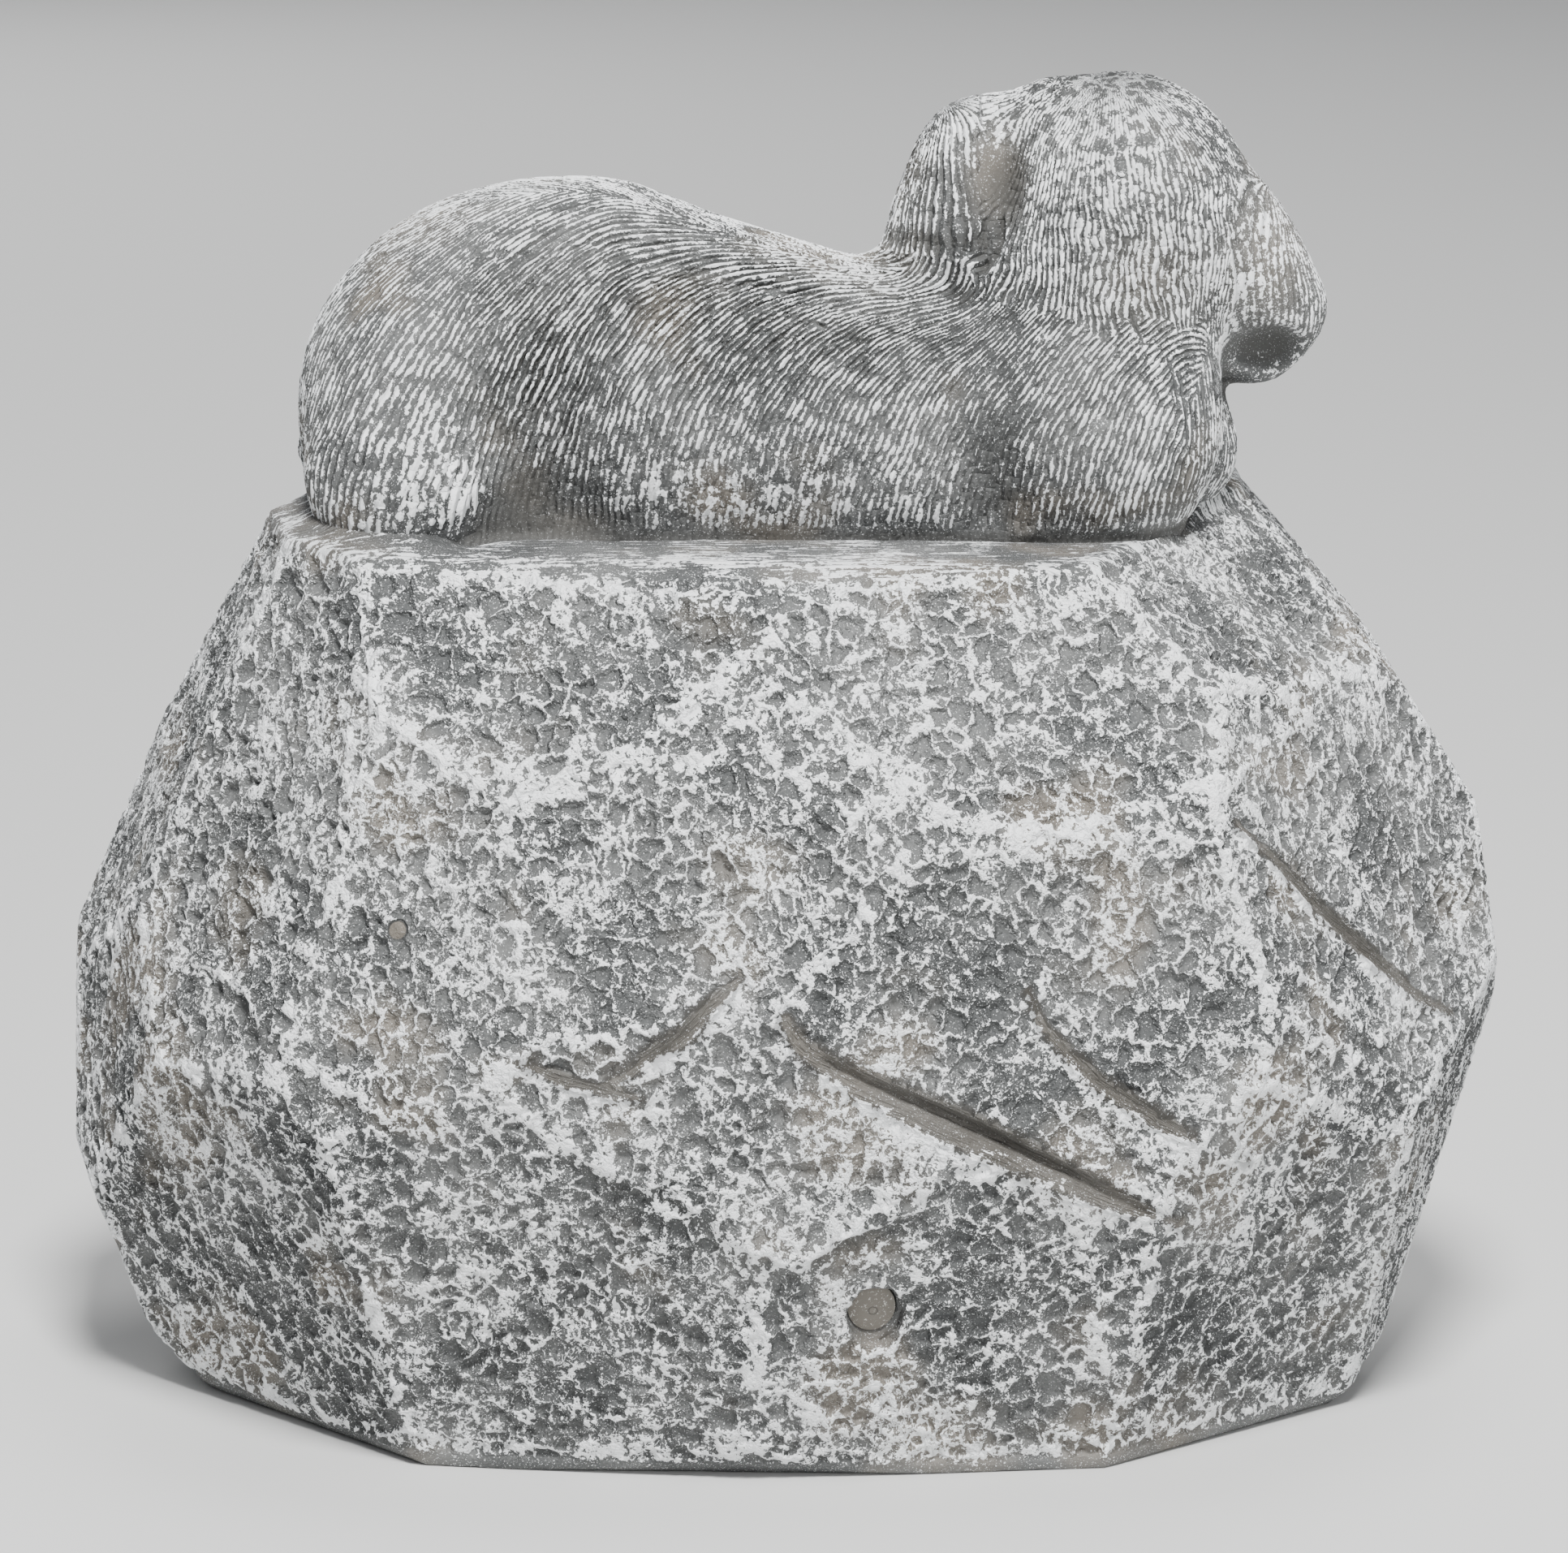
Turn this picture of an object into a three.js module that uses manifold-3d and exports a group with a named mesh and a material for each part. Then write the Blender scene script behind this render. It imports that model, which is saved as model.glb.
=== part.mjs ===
// Memorial statue of cast stone: a dog lying on a rough boulder, and the small plug that closes
// a recess low on the boulder's near side.
// Millimetres, +Z up. The origin is on the floor under the middle of the boulder. The dog lies
// along X with its rump towards -X, its back towards -Y and its face towards +Y.

import * as THREE from "three";
import { ConvexGeometry } from "three/addons/geometries/ConvexGeometry.js";
import { mergeVertices } from "three/addons/utils/BufferGeometryUtils.js";
import Module from "manifold-3d";

// Driving sizes
const ROCK_HEIGHT = 155.5; // floor to the ledge that the dog lies on
const DOG_LENGTH = 162; // rump to chest
const DOG_SUNK = 4; // the dog's flat underside below the ledge
const FUR_GROOVE = 1; // widest cuts between locks of hair, in hundredths of the dog's length
const CRACK_WIDTH = 5; // the widest crack, across its lips
const CRACK_DEPTH = 4;
const PLUG_DIAMETER = 10;
const PLUG_THICKNESS = 6;
const PLUG_CROWN = 0.5; // rise of the plug's domed face
const PLUG_BELOW_FACE = 2.2; // plug's rim below the boulder's face
const PLUG_CLEARANCE = 0.3; // gap all round the plug and under it

const wasm = await Module();
wasm.setup();

const DEGREE = Math.PI / 180;
const vec = (x, y, z) => new THREE.Vector3(x, y, z);

// Joining and cutting

function solidFrom(geometry) {
  const bare = geometry.clone();
  bare.deleteAttribute("normal");
  bare.deleteAttribute("uv");
  const shared = mergeVertices(bare, 1e-3);
  return new wasm.Manifold(
    new wasm.Mesh({
      numProp: 3,
      vertProperties: shared.getAttribute("position").array,
      triVerts: new Uint32Array(shared.index.array),
    }),
  );
}

function geometryFrom(solid) {
  const mesh = solid.getMesh();
  const geometry = new THREE.BufferGeometry();
  geometry.setAttribute("position", new THREE.BufferAttribute(mesh.vertProperties, 3));
  geometry.setIndex(new THREE.BufferAttribute(mesh.triVerts, 1));
  const faceted = geometry.toNonIndexed();
  faceted.computeVertexNormals();
  return faceted;
}

// A V-shaped cut along a path. Each station gives a point on the surface, the way out of it, and
// the cut's width and depth there; lean moves the bottom of the V towards one lip.
function grooveSolid(stations, lean = 0) {
  const proud = 0.35; // how far the cutter stands out of the surface, in widths
  const sections = stations.map((station, i) => {
    const before = stations[Math.max(i - 1, 0)].at;
    const after = stations[Math.min(i + 1, stations.length - 1)].at;
    const along = after.clone().sub(before).normalize();
    const across = along.clone().cross(station.out).normalize();
    const lip = station.at.clone().addScaledVector(station.out, proud * station.width);
    return [
      lip.clone().addScaledVector(across, station.width / 2),
      lip.clone().addScaledVector(across, -station.width / 2),
      station.at
        .clone()
        .addScaledVector(station.out, -station.depth)
        .addScaledVector(across, lean * station.width),
    ];
  });
  return sections
    .slice(1)
    .map((section, i) => solidFrom(new ConvexGeometry([...sections[i], ...section])))
    .reduce((whole, piece) => whole.add(piece));
}

// Full in the middle of a path and thin at both ends.
const taper = (share) => 0.3 + 0.7 * Math.sin(Math.PI * share);

// Boulder

// Each face of the boulder is one flat cut by the mason: the compass bearing that it faces
// (0 is +X, 90 is the far side, 270 the near side), how far it leans back from upright, and its
// distance from the boulder's middle as a share of the boulder's height.
const MASONS_CUTS = {
  ledge: [0, 90, 0.5],
  floor: [0, -90, 0.5],
  ledgeLip: [266, 68, 0.557],
  nearTopLeft: [261, 35, 0.529],
  nearTopRight: [278, 32, 0.519],
  nearMiddleLeft: [266, 16, 0.49],
  nearMiddleRight: [279, 5, 0.49],
  nearTongue: [269, -5, 0.487],
  nearLowLeft: [262, -15, 0.511],
  nearLowRight: [276, -16, 0.51],
  nearFoot: [268, -50, 0.619],
  leftShoulder: [222, 19, 0.632],
  leftPanel: [250, 14, 0.54],
  leftSliver: [201, 6, 0.731],
  leftTop: [190, 23, 0.713],
  leftEnd: [184, 1, 0.801],
  leftLow: [226, -18, 0.658],
  leftFoot: [224, -42, 0.723],
  leftEndLow: [188, -20, 0.828],
  leftEndFoot: [186, -44, 0.82],
  rightTop: [334, 50, 0.645],
  rightPanel: [328, 17, 0.651],
  rightWaist: [315, -4, 0.661],
  rightSide: [342, -14, 0.749],
  rightLow: [308, -18, 0.626],
  rightFoot: [310, -42, 0.704],
  rightEndTop: [0, 42, 0.72],
  rightEndUpper: [4, 32, 0.75],
  rightEnd: [4, 6, 0.802],
  rightEndLow: [2, -19, 0.793],
  rightEndFoot: [355, -50, 0.786],
  farFront: [90, 6, 0.465],
  farTop: [90, 38, 0.562],
  farLow: [88, -24, 0.521],
  farLeft: [128, 14, 0.595],
  farLeftTop: [150, 34, 0.703],
  farLeftLow: [140, -26, 0.727],
  farRight: [52, 12, 0.614],
  farRightTop: [40, 40, 0.742],
  farRightLow: [40, -28, 0.675],
};

const rockMiddle = vec(0, 0, ROCK_HEIGHT / 2);

const rockPlanes = Object.values(MASONS_CUTS).map(([bearing, lean, reach]) => {
  const out = vec(
    Math.cos(lean * DEGREE) * Math.cos(bearing * DEGREE),
    Math.cos(lean * DEGREE) * Math.sin(bearing * DEGREE),
    Math.sin(lean * DEGREE),
  );
  const onPlane = rockMiddle.clone().addScaledVector(out, reach * ROCK_HEIGHT);
  return new THREE.Plane().setFromNormalAndCoplanarPoint(out, onPlane);
});

// The point where three planes meet, or null where they don't.
function cornerOf(a, b, c) {
  const bc = b.normal.clone().cross(c.normal);
  const across = a.normal.dot(bc);
  if (Math.abs(across) < 1e-6) return null;
  return bc
    .multiplyScalar(-a.constant)
    .addScaledVector(c.normal.clone().cross(a.normal), -b.constant)
    .addScaledVector(a.normal.clone().cross(b.normal), -c.constant)
    .divideScalar(across);
}

function rockCorners() {
  const corners = [];
  rockPlanes.forEach((a, i) =>
    rockPlanes.slice(i + 1).forEach((b, j) =>
      rockPlanes.slice(i + j + 2).forEach((c) => {
        const corner = cornerOf(a, b, c);
        if (corner && rockPlanes.every((plane) => plane.distanceToPoint(corner) < 1e-3)) {
          corners.push(corner);
        }
      }),
    ),
  );
  return corners;
}

// The boulder's surface straight behind a point of the near side, given as shares of its height.
function onNearSide([across, up]) {
  const start = vec(across * ROCK_HEIGHT, -2 * ROCK_HEIGHT, up * ROCK_HEIGHT);
  let nearest = { ahead: -Infinity };
  for (const plane of rockPlanes) {
    if (plane.normal.y >= 0) continue;
    const ahead = -plane.distanceToPoint(start) / plane.normal.y;
    if (ahead > nearest.ahead) nearest = { ahead, out: plane.normal };
  }
  return { at: start.add(vec(0, nearest.ahead, 0)), out: nearest.out };
}

// Cracks on the near side: where each runs, and its width against the widest.
const CRACKS = [
  {
    size: 1,
    route: [[0, 0.552], [0.02, 0.52], [0.07, 0.487], [0.2, 0.422], [0.333, 0.351], [0.432, 0.303]],
  },
  { size: 0.5, route: [[0.262, 0.574], [0.278, 0.534], [0.336, 0.471], [0.423, 0.413], [0.506, 0.361]] },
  { size: 0.6, route: [[-0.048, 0.593], [-0.083, 0.563], [-0.107, 0.536], [-0.188, 0.478]] },
  { size: 0.4, route: [[-0.283, 0.504], [-0.231, 0.481], [-0.146, 0.461]] },
  { size: 0.6, route: [[0.488, 0.737], [0.538, 0.678], [0.588, 0.614], [0.704, 0.487], [0.748, 0.452]] },
];
const CRACK_STEPS = 8;
const CRACK_LEAN = -0.3; // a crack's upper wall is the steep one

function crackSolid({ size, route }) {
  const path = new THREE.CatmullRomCurve3(route.map(([x, z]) => vec(x, 0, z)));
  const stations = path.getSpacedPoints(CRACK_STEPS).map((point, i) => ({
    ...onNearSide([point.x, point.z]),
    width: CRACK_WIDTH * size * taper(i / CRACK_STEPS),
    depth: CRACK_DEPTH * size * taper(i / CRACK_STEPS),
  }));
  return grooveSolid(stations, CRACK_LEAN);
}

// Plug and its recess

const PLUG_PLACE = [0.098, 0.204];
const plugSeat = onNearSide(PLUG_PLACE);
const plugTurn = new THREE.Quaternion().setFromUnitVectors(vec(0, 1, 0), plugSeat.out);

// A round piece on the recess's axis, from a profile of [radius, height above the face] points.
function onPlugAxis(profile) {
  const points = profile.map(([radius, height]) => new THREE.Vector2(radius, height));
  return new THREE.LatheGeometry(points, 32).applyQuaternion(plugTurn).translate(...plugSeat.at);
}

function recessSolid() {
  const radius = PLUG_DIAMETER / 2 + PLUG_CLEARANCE;
  const bottom = -(PLUG_BELOW_FACE + PLUG_THICKNESS + PLUG_CLEARANCE);
  const above = PLUG_DIAMETER / 2;
  return solidFrom(onPlugAxis([[0, bottom], [radius, bottom], [radius, above], [0, above]]));
}

function plugGeometry() {
  const radius = PLUG_DIAMETER / 2;
  const bottom = -(PLUG_BELOW_FACE + PLUG_THICKNESS);
  const domeSteps = 4;
  const dome = Array.from({ length: domeSteps + 1 }, (_, i) => {
    const share = 1 - i / domeSteps;
    return [radius * share, -PLUG_BELOW_FACE + PLUG_CROWN * (1 - share * share)];
  });
  return onPlugAxis([[0, bottom], [radius, bottom], ...dome]);
}

// Dog

// The dog is modelled in hundredths of its own length, from a point on the ledge. Each of its
// masses is a function that says how far a point lies outside it; inside, it is negative.
const UNIT = DOG_LENGTH / 100;

function ball(middle, radii) {
  return ([x, y, z]) => {
    const [u, v, w] = [(x - middle[0]) / radii[0], (y - middle[1]) / radii[1], (z - middle[2]) / radii[2]];
    const near = Math.hypot(u, v, w);
    const slope = Math.hypot(u / radii[0], v / radii[1], w / radii[2]);
    return slope > 0 ? (near * (near - 1)) / slope : -Math.min(...radii);
  };
}

// A limb runs between two points, with a radius at each.
function limb(from, to, radiusFrom, radiusTo) {
  const span = to.map((value, i) => value - from[i]);
  const length2 = span[0] ** 2 + span[1] ** 2 + span[2] ** 2;
  return ([x, y, z]) => {
    const [dx, dy, dz] = [x - from[0], y - from[1], z - from[2]];
    const share = Math.min(Math.max((dx * span[0] + dy * span[1] + dz * span[2]) / length2, 0), 1);
    const gap = Math.hypot(dx - share * span[0], dy - share * span[1], dz - share * span[2]);
    return gap - (radiusFrom + share * (radiusTo - radiusFrom));
  };
}

// The same mass in a frame of its own, such as the tilted head.
function framed(frame, mass) {
  const back = frame.clone().invert();
  return (place) => mass(vec(...place).applyMatrix4(back).toArray());
}

function frameAt(place, roll, pitch, yaw = 0) {
  const turn = new THREE.Euler(pitch * DEGREE, roll * DEGREE, yaw * DEGREE, "ZYX");
  return new THREE.Matrix4()
    .makeRotationFromEuler(turn)
    .setPosition(...place);
}

// Melts two masses together over a width, or takes the second out of the first.
function melt(a, b, soft) {
  const overlap = Math.max(soft - Math.abs(a - b), 0) / soft;
  return Math.min(a, b) - (overlap * overlap * soft) / 4;
}
const hollow = (a, b, soft) => -melt(-a, b, soft);

const HEAD = frameAt([35.3, 6.2, 31.6], 17, -8);
const LEFT_EAR = frameAt([17.4, 6.5, 32.6], 24, 0, 8);
const RIGHT_EAR = frameAt([52, 8.5, 24.4], -20, 0, -6);

const BODY = [
  { mass: ball([-27.4, 6.4, 10.2], [24.6, 18.5, 24.4]), soft: 6 }, // rump
  { mass: limb([-18.5, 6.4, 14.6], [12, 3, 11.6], 19.4, 14), soft: 6 }, // barrel
  { mass: limb([-21.6, 1.2, 4.9], [21.6, 0, 4.9], 12.3, 12.3), soft: 6 }, // belly
  { mass: limb([-37.5, -1.5, 13.5], [-39.4, -6.6, 5.5], 11.5, 11.2), soft: 7 }, // near thigh
  { mass: ball([-34, 17, 8.6], [15, 11, 15]), soft: 4 }, // far thigh
  { mass: ball([32, -2.5, 9.5], [14, 12.3, 15]), soft: 6 }, // near shoulder
  { mass: limb([30.5, 7.4, 8.6], [33.2, 12.3, 10.5], 13, 12), soft: 6 }, // chest
  { mass: limb([30.5, 3, 13], [35.3, 5.2, 27.5], 14.4, 13.4), soft: 6 }, // neck
  { mass: limb([35, 12, 15], [35, 20, 4], 9.5, 7), soft: 6 }, // breast
];

// Each paw: its middle, its half-sizes and the way that its toes point.
const PAWS = [
  { middle: [43.6, 27.5, 3.6], radii: [5.2, 6.4, 4.8], toes: [0, 1] },
  { middle: [26.4, 27.5, 3.6], radii: [5.2, 6.4, 4.8], toes: [0, 1] },
  { middle: [-11, 27, 3], radii: [6.2, 4.8, 4.2], toes: [1, 0] },
];
const LEGS = [
  { mass: limb([42, 8, 5.5], [43.4, 23, 4.2], 7, 5.2), soft: 4 },
  { mass: limb([26, 10, 5.5], [26.4, 23, 4.2], 7, 5.2), soft: 4 },
  { mass: limb([-27, 22, 5], [-15, 26, 3.4], 5.6, 4.4), soft: 3 },
  ...PAWS.map(({ middle, radii }) => ({ mass: ball(middle, radii), soft: 2 })),
];

// The tail curls from the rump round the far side.
const TAIL_ROUTE = [[-46, 8, 7], [-48.5, 17, 4], [-45, 25, 2.6], [-38, 29, 2.2], [-30, 31, 2]];
const TAIL = TAIL_ROUTE.slice(1).map((point, i) => ({
  mass: limb(TAIL_ROUTE[i], point, 4.6 - 0.6 * i, 4 - 0.6 * i),
  soft: 2.5,
}));

const SKULL = [
  { mass: ball([0, 0, 0], [14.2, 15.2, 15.2]), soft: 6 },
  { mass: limb([0, 9, -5.5], [0, 19, -8], 8.4, 5.8), soft: 5 }, // muzzle
];
for (const side of [-1, 1]) {
  SKULL.push(
    { mass: ball([8 * side, 7.5, -6.5], [6, 6.5, 6.5]), soft: 4 }, // cheek
    { mass: ball([4.8 * side, 11.8, 3.4], [4.4, 3.4, 2.6]), soft: 2.5 }, // brow
    { mass: ball([3.1 * side, 19.5, -9.6], [3.2, 4.2, 3.2]), soft: 1.5 }, // lip
  );
}

const EARS = [
  { mass: limb([28, 5.5, 41.5], [20.5, 6, 38.5], 4.2, 4.6), soft: 4 }, // left root
  { mass: framed(LEFT_EAR, ball([0, 0, 0], [5.4, 8.6, 10.6])), soft: 2 },
  { mass: framed(RIGHT_EAR, ball([0, 0, 0], [4.8, 8.5, 10])), soft: 2.5 },
  { mass: limb([50, 7.5, 27], [54.6, 7, 21.6], 4, 3.5), soft: 2 }, // right corner
  { mass: ball([50.5, 10, 17.4], [5.4, 7, 4.8]), soft: 2.5 }, // right lap
];
const EAR_POCKETS = [
  { mass: ball([23, -4, 30.5], [1.8, 5, 4.6]), soft: 2 },
  { mass: ball([52.4, -0.5, 17.2], [5, 6.5, 2.7]), soft: 1 },
];

const CREASES = [
  { mass: limb([-31, -21, 20], [-24.5, -17.5, 5], 2, 3.4), soft: 5 }, // thigh to flank
  { mass: ball([-23, -15, 1], [6.5, 3.6, 4]), soft: 2 }, // hollow under the flank
  { mass: limb([19, -17.5, 16], [22, -16, 3], 1.6, 2.6), soft: 5 }, // flank to shoulder
];

const MASSES = [
  ...BODY,
  ...LEGS,
  ...TAIL,
  ...SKULL.map(({ mass, soft }) => ({ mass: framed(HEAD, mass), soft })),
  ...EARS,
];
const HOLLOWS = [...EAR_POCKETS, ...CREASES];

function dogForm(point) {
  const filled = MASSES.reduce((form, { mass, soft }) => melt(form, mass(point), soft), Infinity);
  const carved = HOLLOWS.reduce((form, { mass, soft }) => hollow(form, mass(point), soft), filled);
  return Math.max(carved, -DOG_SUNK / UNIT - point[2]);
}

// Grid lines of one axis: [place, step] pairs, each step kept up to the next place.
function gridLines(stretches, end) {
  const lines = [];
  stretches.forEach(([start, step], i) => {
    const stop = i + 1 < stretches.length ? stretches[i + 1][0] : end;
    for (let place = start; place < stop; place += step) lines.push(place);
  });
  return [...lines, end];
}

const JUST_INSIDE = -0.05;

// A closed skin of four-sided faces through the grid cells that the form's surface passes.
function skinOf(form, [xs, ys, zs]) {
  const [nx, ny, nz] = [xs.length, ys.length, zs.length];
  const at = (i, j, k) => (i * ny + j) * nz + k;
  const value = new Float64Array(nx * ny * nz);
  const eachNode = (visit, trim = 0) => {
    for (let i = 0; i < nx - trim; i++) {
      for (let j = 0; j < ny - trim; j++) for (let k = 0; k < nz - trim; k++) visit(i, j, k);
    }
  };
  eachNode((i, j, k) => {
    value[at(i, j, k)] = form([xs[i], ys[j], zs[k]]);
  });

  // Where a cell would pinch the skin, the outer corner nearest the surface is filled in.
  const STEP = [[1, 0, 0], [0, 1, 0], [0, 0, 1]];
  const corners = (i, j, k) =>
    Array.from({ length: 8 }, (_, c) => at(i + (c & 1), j + ((c >> 1) & 1), k + ((c >> 2) & 1)));
  const connected = (flags) => {
    const wanted = flags.reduce((mask, flag, c) => (flag ? mask | (1 << c) : mask), 0);
    let reached = wanted & -wanted;
    for (let pass = 0; pass < 7; pass++) {
      for (let c = 0; c < 8; c++) {
        if (!(reached & (1 << c))) continue;
        for (const flip of [1, 2, 4]) reached |= (1 << (c ^ flip)) & wanted;
      }
    }
    return reached === wanted;
  };
  const FACES = [[0, 1, 3, 2], [4, 5, 7, 6], [0, 1, 5, 4], [2, 3, 7, 6], [0, 2, 6, 4], [1, 3, 7, 5]];
  const pinched = (flags) =>
    !connected(flags) ||
    !connected(flags.map((flag) => !flag)) ||
    FACES.some(([a, b, c, d]) => flags[a] === flags[c] && flags[b] === flags[d] && flags[a] !== flags[b]);
  let filled = true;
  while (filled) {
    filled = false;
    eachNode((i, j, k) => {
      const nodes = corners(i, j, k);
      if (!pinched(nodes.map((n) => value[n] < 0))) return;
      const outside = nodes.filter((n) => value[n] >= 0).sort((a, b) => value[a] - value[b]);
      value[outside[0]] = JUST_INSIDE;
      filled = true;
    }, 1);
  }

  const vertexOf = new Map();
  const positions = [];
  eachNode((i, j, k) => {
    const nodes = corners(i, j, k);
    const inside = nodes.filter((n) => value[n] < 0).length;
    if (inside === 0 || inside === 8) return;
    const sum = [0, 0, 0];
    let crossings = 0;
    for (let c = 0; c < 8; c++) {
      [1, 2, 4].forEach((flip) => {
        const other = c ^ flip;
        if (other < c || value[nodes[c]] < 0 === value[nodes[other]] < 0) return;
        const share = value[nodes[c]] / (value[nodes[c]] - value[nodes[other]]);
        const spot = (lines, start, bit) =>
          lines[start + ((c >> bit) & 1)] * (1 - share) + lines[start + ((other >> bit) & 1)] * share;
        sum[0] += spot(xs, i, 0);
        sum[1] += spot(ys, j, 1);
        sum[2] += spot(zs, k, 2);
        crossings++;
      });
    }
    vertexOf.set(at(i, j, k), positions.length / 3);
    positions.push(...sum.map((total) => total / crossings));
  }, 1);

  const index = [];
  eachNode((i, j, k) => {
    STEP.forEach(([a, b, c], axis) => {
      if (i + a >= nx || j + b >= ny || k + c >= nz) return;
      const here = value[at(i, j, k)] < 0;
      if (here === value[at(i + a, j + b, k + c)] < 0) return;
      const [s, t] = [STEP[(axis + 1) % 3], STEP[(axis + 2) % 3]];
      const cell = (p, q) =>
        vertexOf.get(at(i - p * s[0] - q * t[0], j - p * s[1] - q * t[1], k - p * s[2] - q * t[2]));
      const ring = [cell(0, 0), cell(1, 0), cell(1, 1), cell(0, 1)];
      if (!here) ring.reverse();
      const apart = (m, n) =>
        Math.hypot(...[0, 1, 2].map((d) => positions[3 * ring[m] + d] - positions[3 * ring[n] + d]));
      const order = apart(0, 2) <= apart(1, 3) ? [0, 1, 2, 0, 2, 3] : [1, 2, 3, 1, 3, 0];
      index.push(...order.map((n) => ring[n]));
    });
  });
  const geometry = new THREE.BufferGeometry();
  geometry.setAttribute("position", new THREE.Float32BufferAttribute(positions, 3));
  geometry.setIndex(index);
  return geometry;
}

// The grid is finer where the head is.
const DOG_GRID = [
  gridLines([[-55, 3.1], [12, 2.2]], 62),
  gridLines([[-24, 2.6]], 40),
  gridLines([[-5, 2.7], [16, 2.3]], 52),
];

// From the dog's own frame to the statue's.
const ontoLedge = new THREE.Matrix4()
  .makeTranslation(0, 0, ROCK_HEIGHT)
  .multiply(new THREE.Matrix4().makeScale(UNIT, UNIT, UNIT));

const dogSolid = () => solidFrom(skinOf(dogForm, DOG_GRID).applyMatrix4(ontoLedge));

const FARTHEST_SKIN = 60;
const HALVINGS = 24;

// The dog's surface as seen from a point inside it, looking a given way.
function onDog(inside, way) {
  const start = vec(...inside);
  const aim = vec(...way).normalize();
  let [near, far] = [0, FARTHEST_SKIN];
  for (let pass = 0; pass < HALVINGS; pass++) {
    const middle = (near + far) / 2;
    if (dogForm(start.clone().addScaledVector(aim, middle).toArray()) < 0) near = middle;
    else far = middle;
  }
  return { at: start.addScaledVector(aim, near).applyMatrix4(ontoLedge), out: aim };
}

// A tapering cut on the dog's surface, its width and depth in hundredths of the dog's length;
// sight gives the point inside and the way for each share of the cut.
function dogCut(sight, steps, width, depth) {
  const stations = Array.from({ length: steps + 1 }, (_, i) => ({
    ...onDog(...sight(i / steps)),
    width: width * UNIT * taper(i / steps),
    depth: depth * UNIT * taper(i / steps),
  }));
  return grooveSolid(stations);
}

// The coat parts along the spine, and its main lines sweep back and down from there over the
// near flank.
const COAT_LINES = 6;
const SPINE_FRONT = 14;
const SPINE_BACK = -38;

// A point on the dog's middle line under a place along the spine.
const underSpine = (along) => [along, 5, 12 + 0.1 * Math.abs(along)];

function coatCuts() {
  const length = SPINE_FRONT - SPINE_BACK;
  const parting = (share) => [underSpine(SPINE_FRONT - length * share), [0, -0.25, 1]];
  const lines = Array.from({ length: COAT_LINES }, (_, i) => {
    const start = SPINE_FRONT - (0.82 * length * i) / (COAT_LINES - 1);
    return (share) => [
      underSpine(start - 12 * share),
      [-0.25 * share * share, -0.3 - 1.1 * share, 1.05 - 0.85 * share],
    ];
  });
  return [
    dogCut(parting, 8, FUR_GROOVE, FUR_GROOVE / 3),
    ...lines.map((line) => dogCut(line, 6, FUR_GROOVE, FUR_GROOVE / 2)),
  ];
}

// Two cuts on each paw part its toes.
function toeCuts() {
  return PAWS.flatMap(({ middle, toes: [tx, ty] }) =>
    [-1, 1].map((side) => {
      const spread = 0.34 * side;
      const sight = (share) => [
        middle,
        [tx + spread * ty, ty + spread * tx, 1.3 - 1.7 * share],
      ];
      return dogCut(sight, 3, FUR_GROOVE, FUR_GROOVE);
    }),
  );
}

// Small forms of the head, placed in the head's frame

const inHead = (geometry) => geometry.applyMatrix4(HEAD).applyMatrix4(ontoLedge);

function bead(place, radii) {
  return solidFrom(inHead(new THREE.IcosahedronGeometry(1, 1).scale(...radii).translate(...place)));
}

function mouthCut() {
  const inside = vec(0, 13.5, -9).applyMatrix4(HEAD).toArray();
  const sight = (share) => {
    const swing = (share - 0.5) * 150 * DEGREE;
    return [inside, vec(Math.sin(swing), Math.cos(swing), -0.22).transformDirection(HEAD).toArray()];
  };
  return dogCut(sight, 8, FUR_GROOVE, FUR_GROOVE);
}

function headDetails(solid) {
  let whole = solid.add(bead([0, 24.2, -5.8], [2.7, 2, 2.1]));
  for (const side of [-1, 1]) {
    whole = whole.subtract(bead([5 * side, 14.6, -0.4], [2.3, 2.2, 1.5]));
    whole = whole.add(bead([5 * side, 13.2, -0.4], [1.9, 1.9, 1.5]));
    whole = whole.subtract(bead([1.2 * side, 26, -6], [0.6, 0.8, 0.6]));
  }
  return whole.subtract(mouthCut());
}

function carvedDog() {
  return [...coatCuts(), ...toeCuts()].reduce(
    (dog, cut) => dog.subtract(cut),
    headDetails(dogSolid()),
  );
}

// Casting

function castingGeometry() {
  let stone = solidFrom(new ConvexGeometry(rockCorners()));
  for (const crack of CRACKS) stone = stone.subtract(crackSolid(crack));
  stone = stone.subtract(recessSolid());
  return geometryFrom(stone.add(carvedDog()));
}

const castStone = new THREE.MeshStandardMaterial({ color: 0x9a9b9a, roughness: 0.85, metalness: 0 });
const fillerPaste = new THREE.MeshStandardMaterial({ color: 0x7d776f, roughness: 0.7, metalness: 0 });

const statue = new THREE.Group();
const casting = new THREE.Mesh(castingGeometry(), castStone);
casting.name = "dog_on_boulder";
const plug = new THREE.Mesh(plugGeometry(), fillerPaste);
plug.name = "filler_plug";
statue.add(casting, plug);

export default statue;
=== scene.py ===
import math

import bmesh
import bpy
import numpy as np
from mathutils import Matrix, Vector


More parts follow.
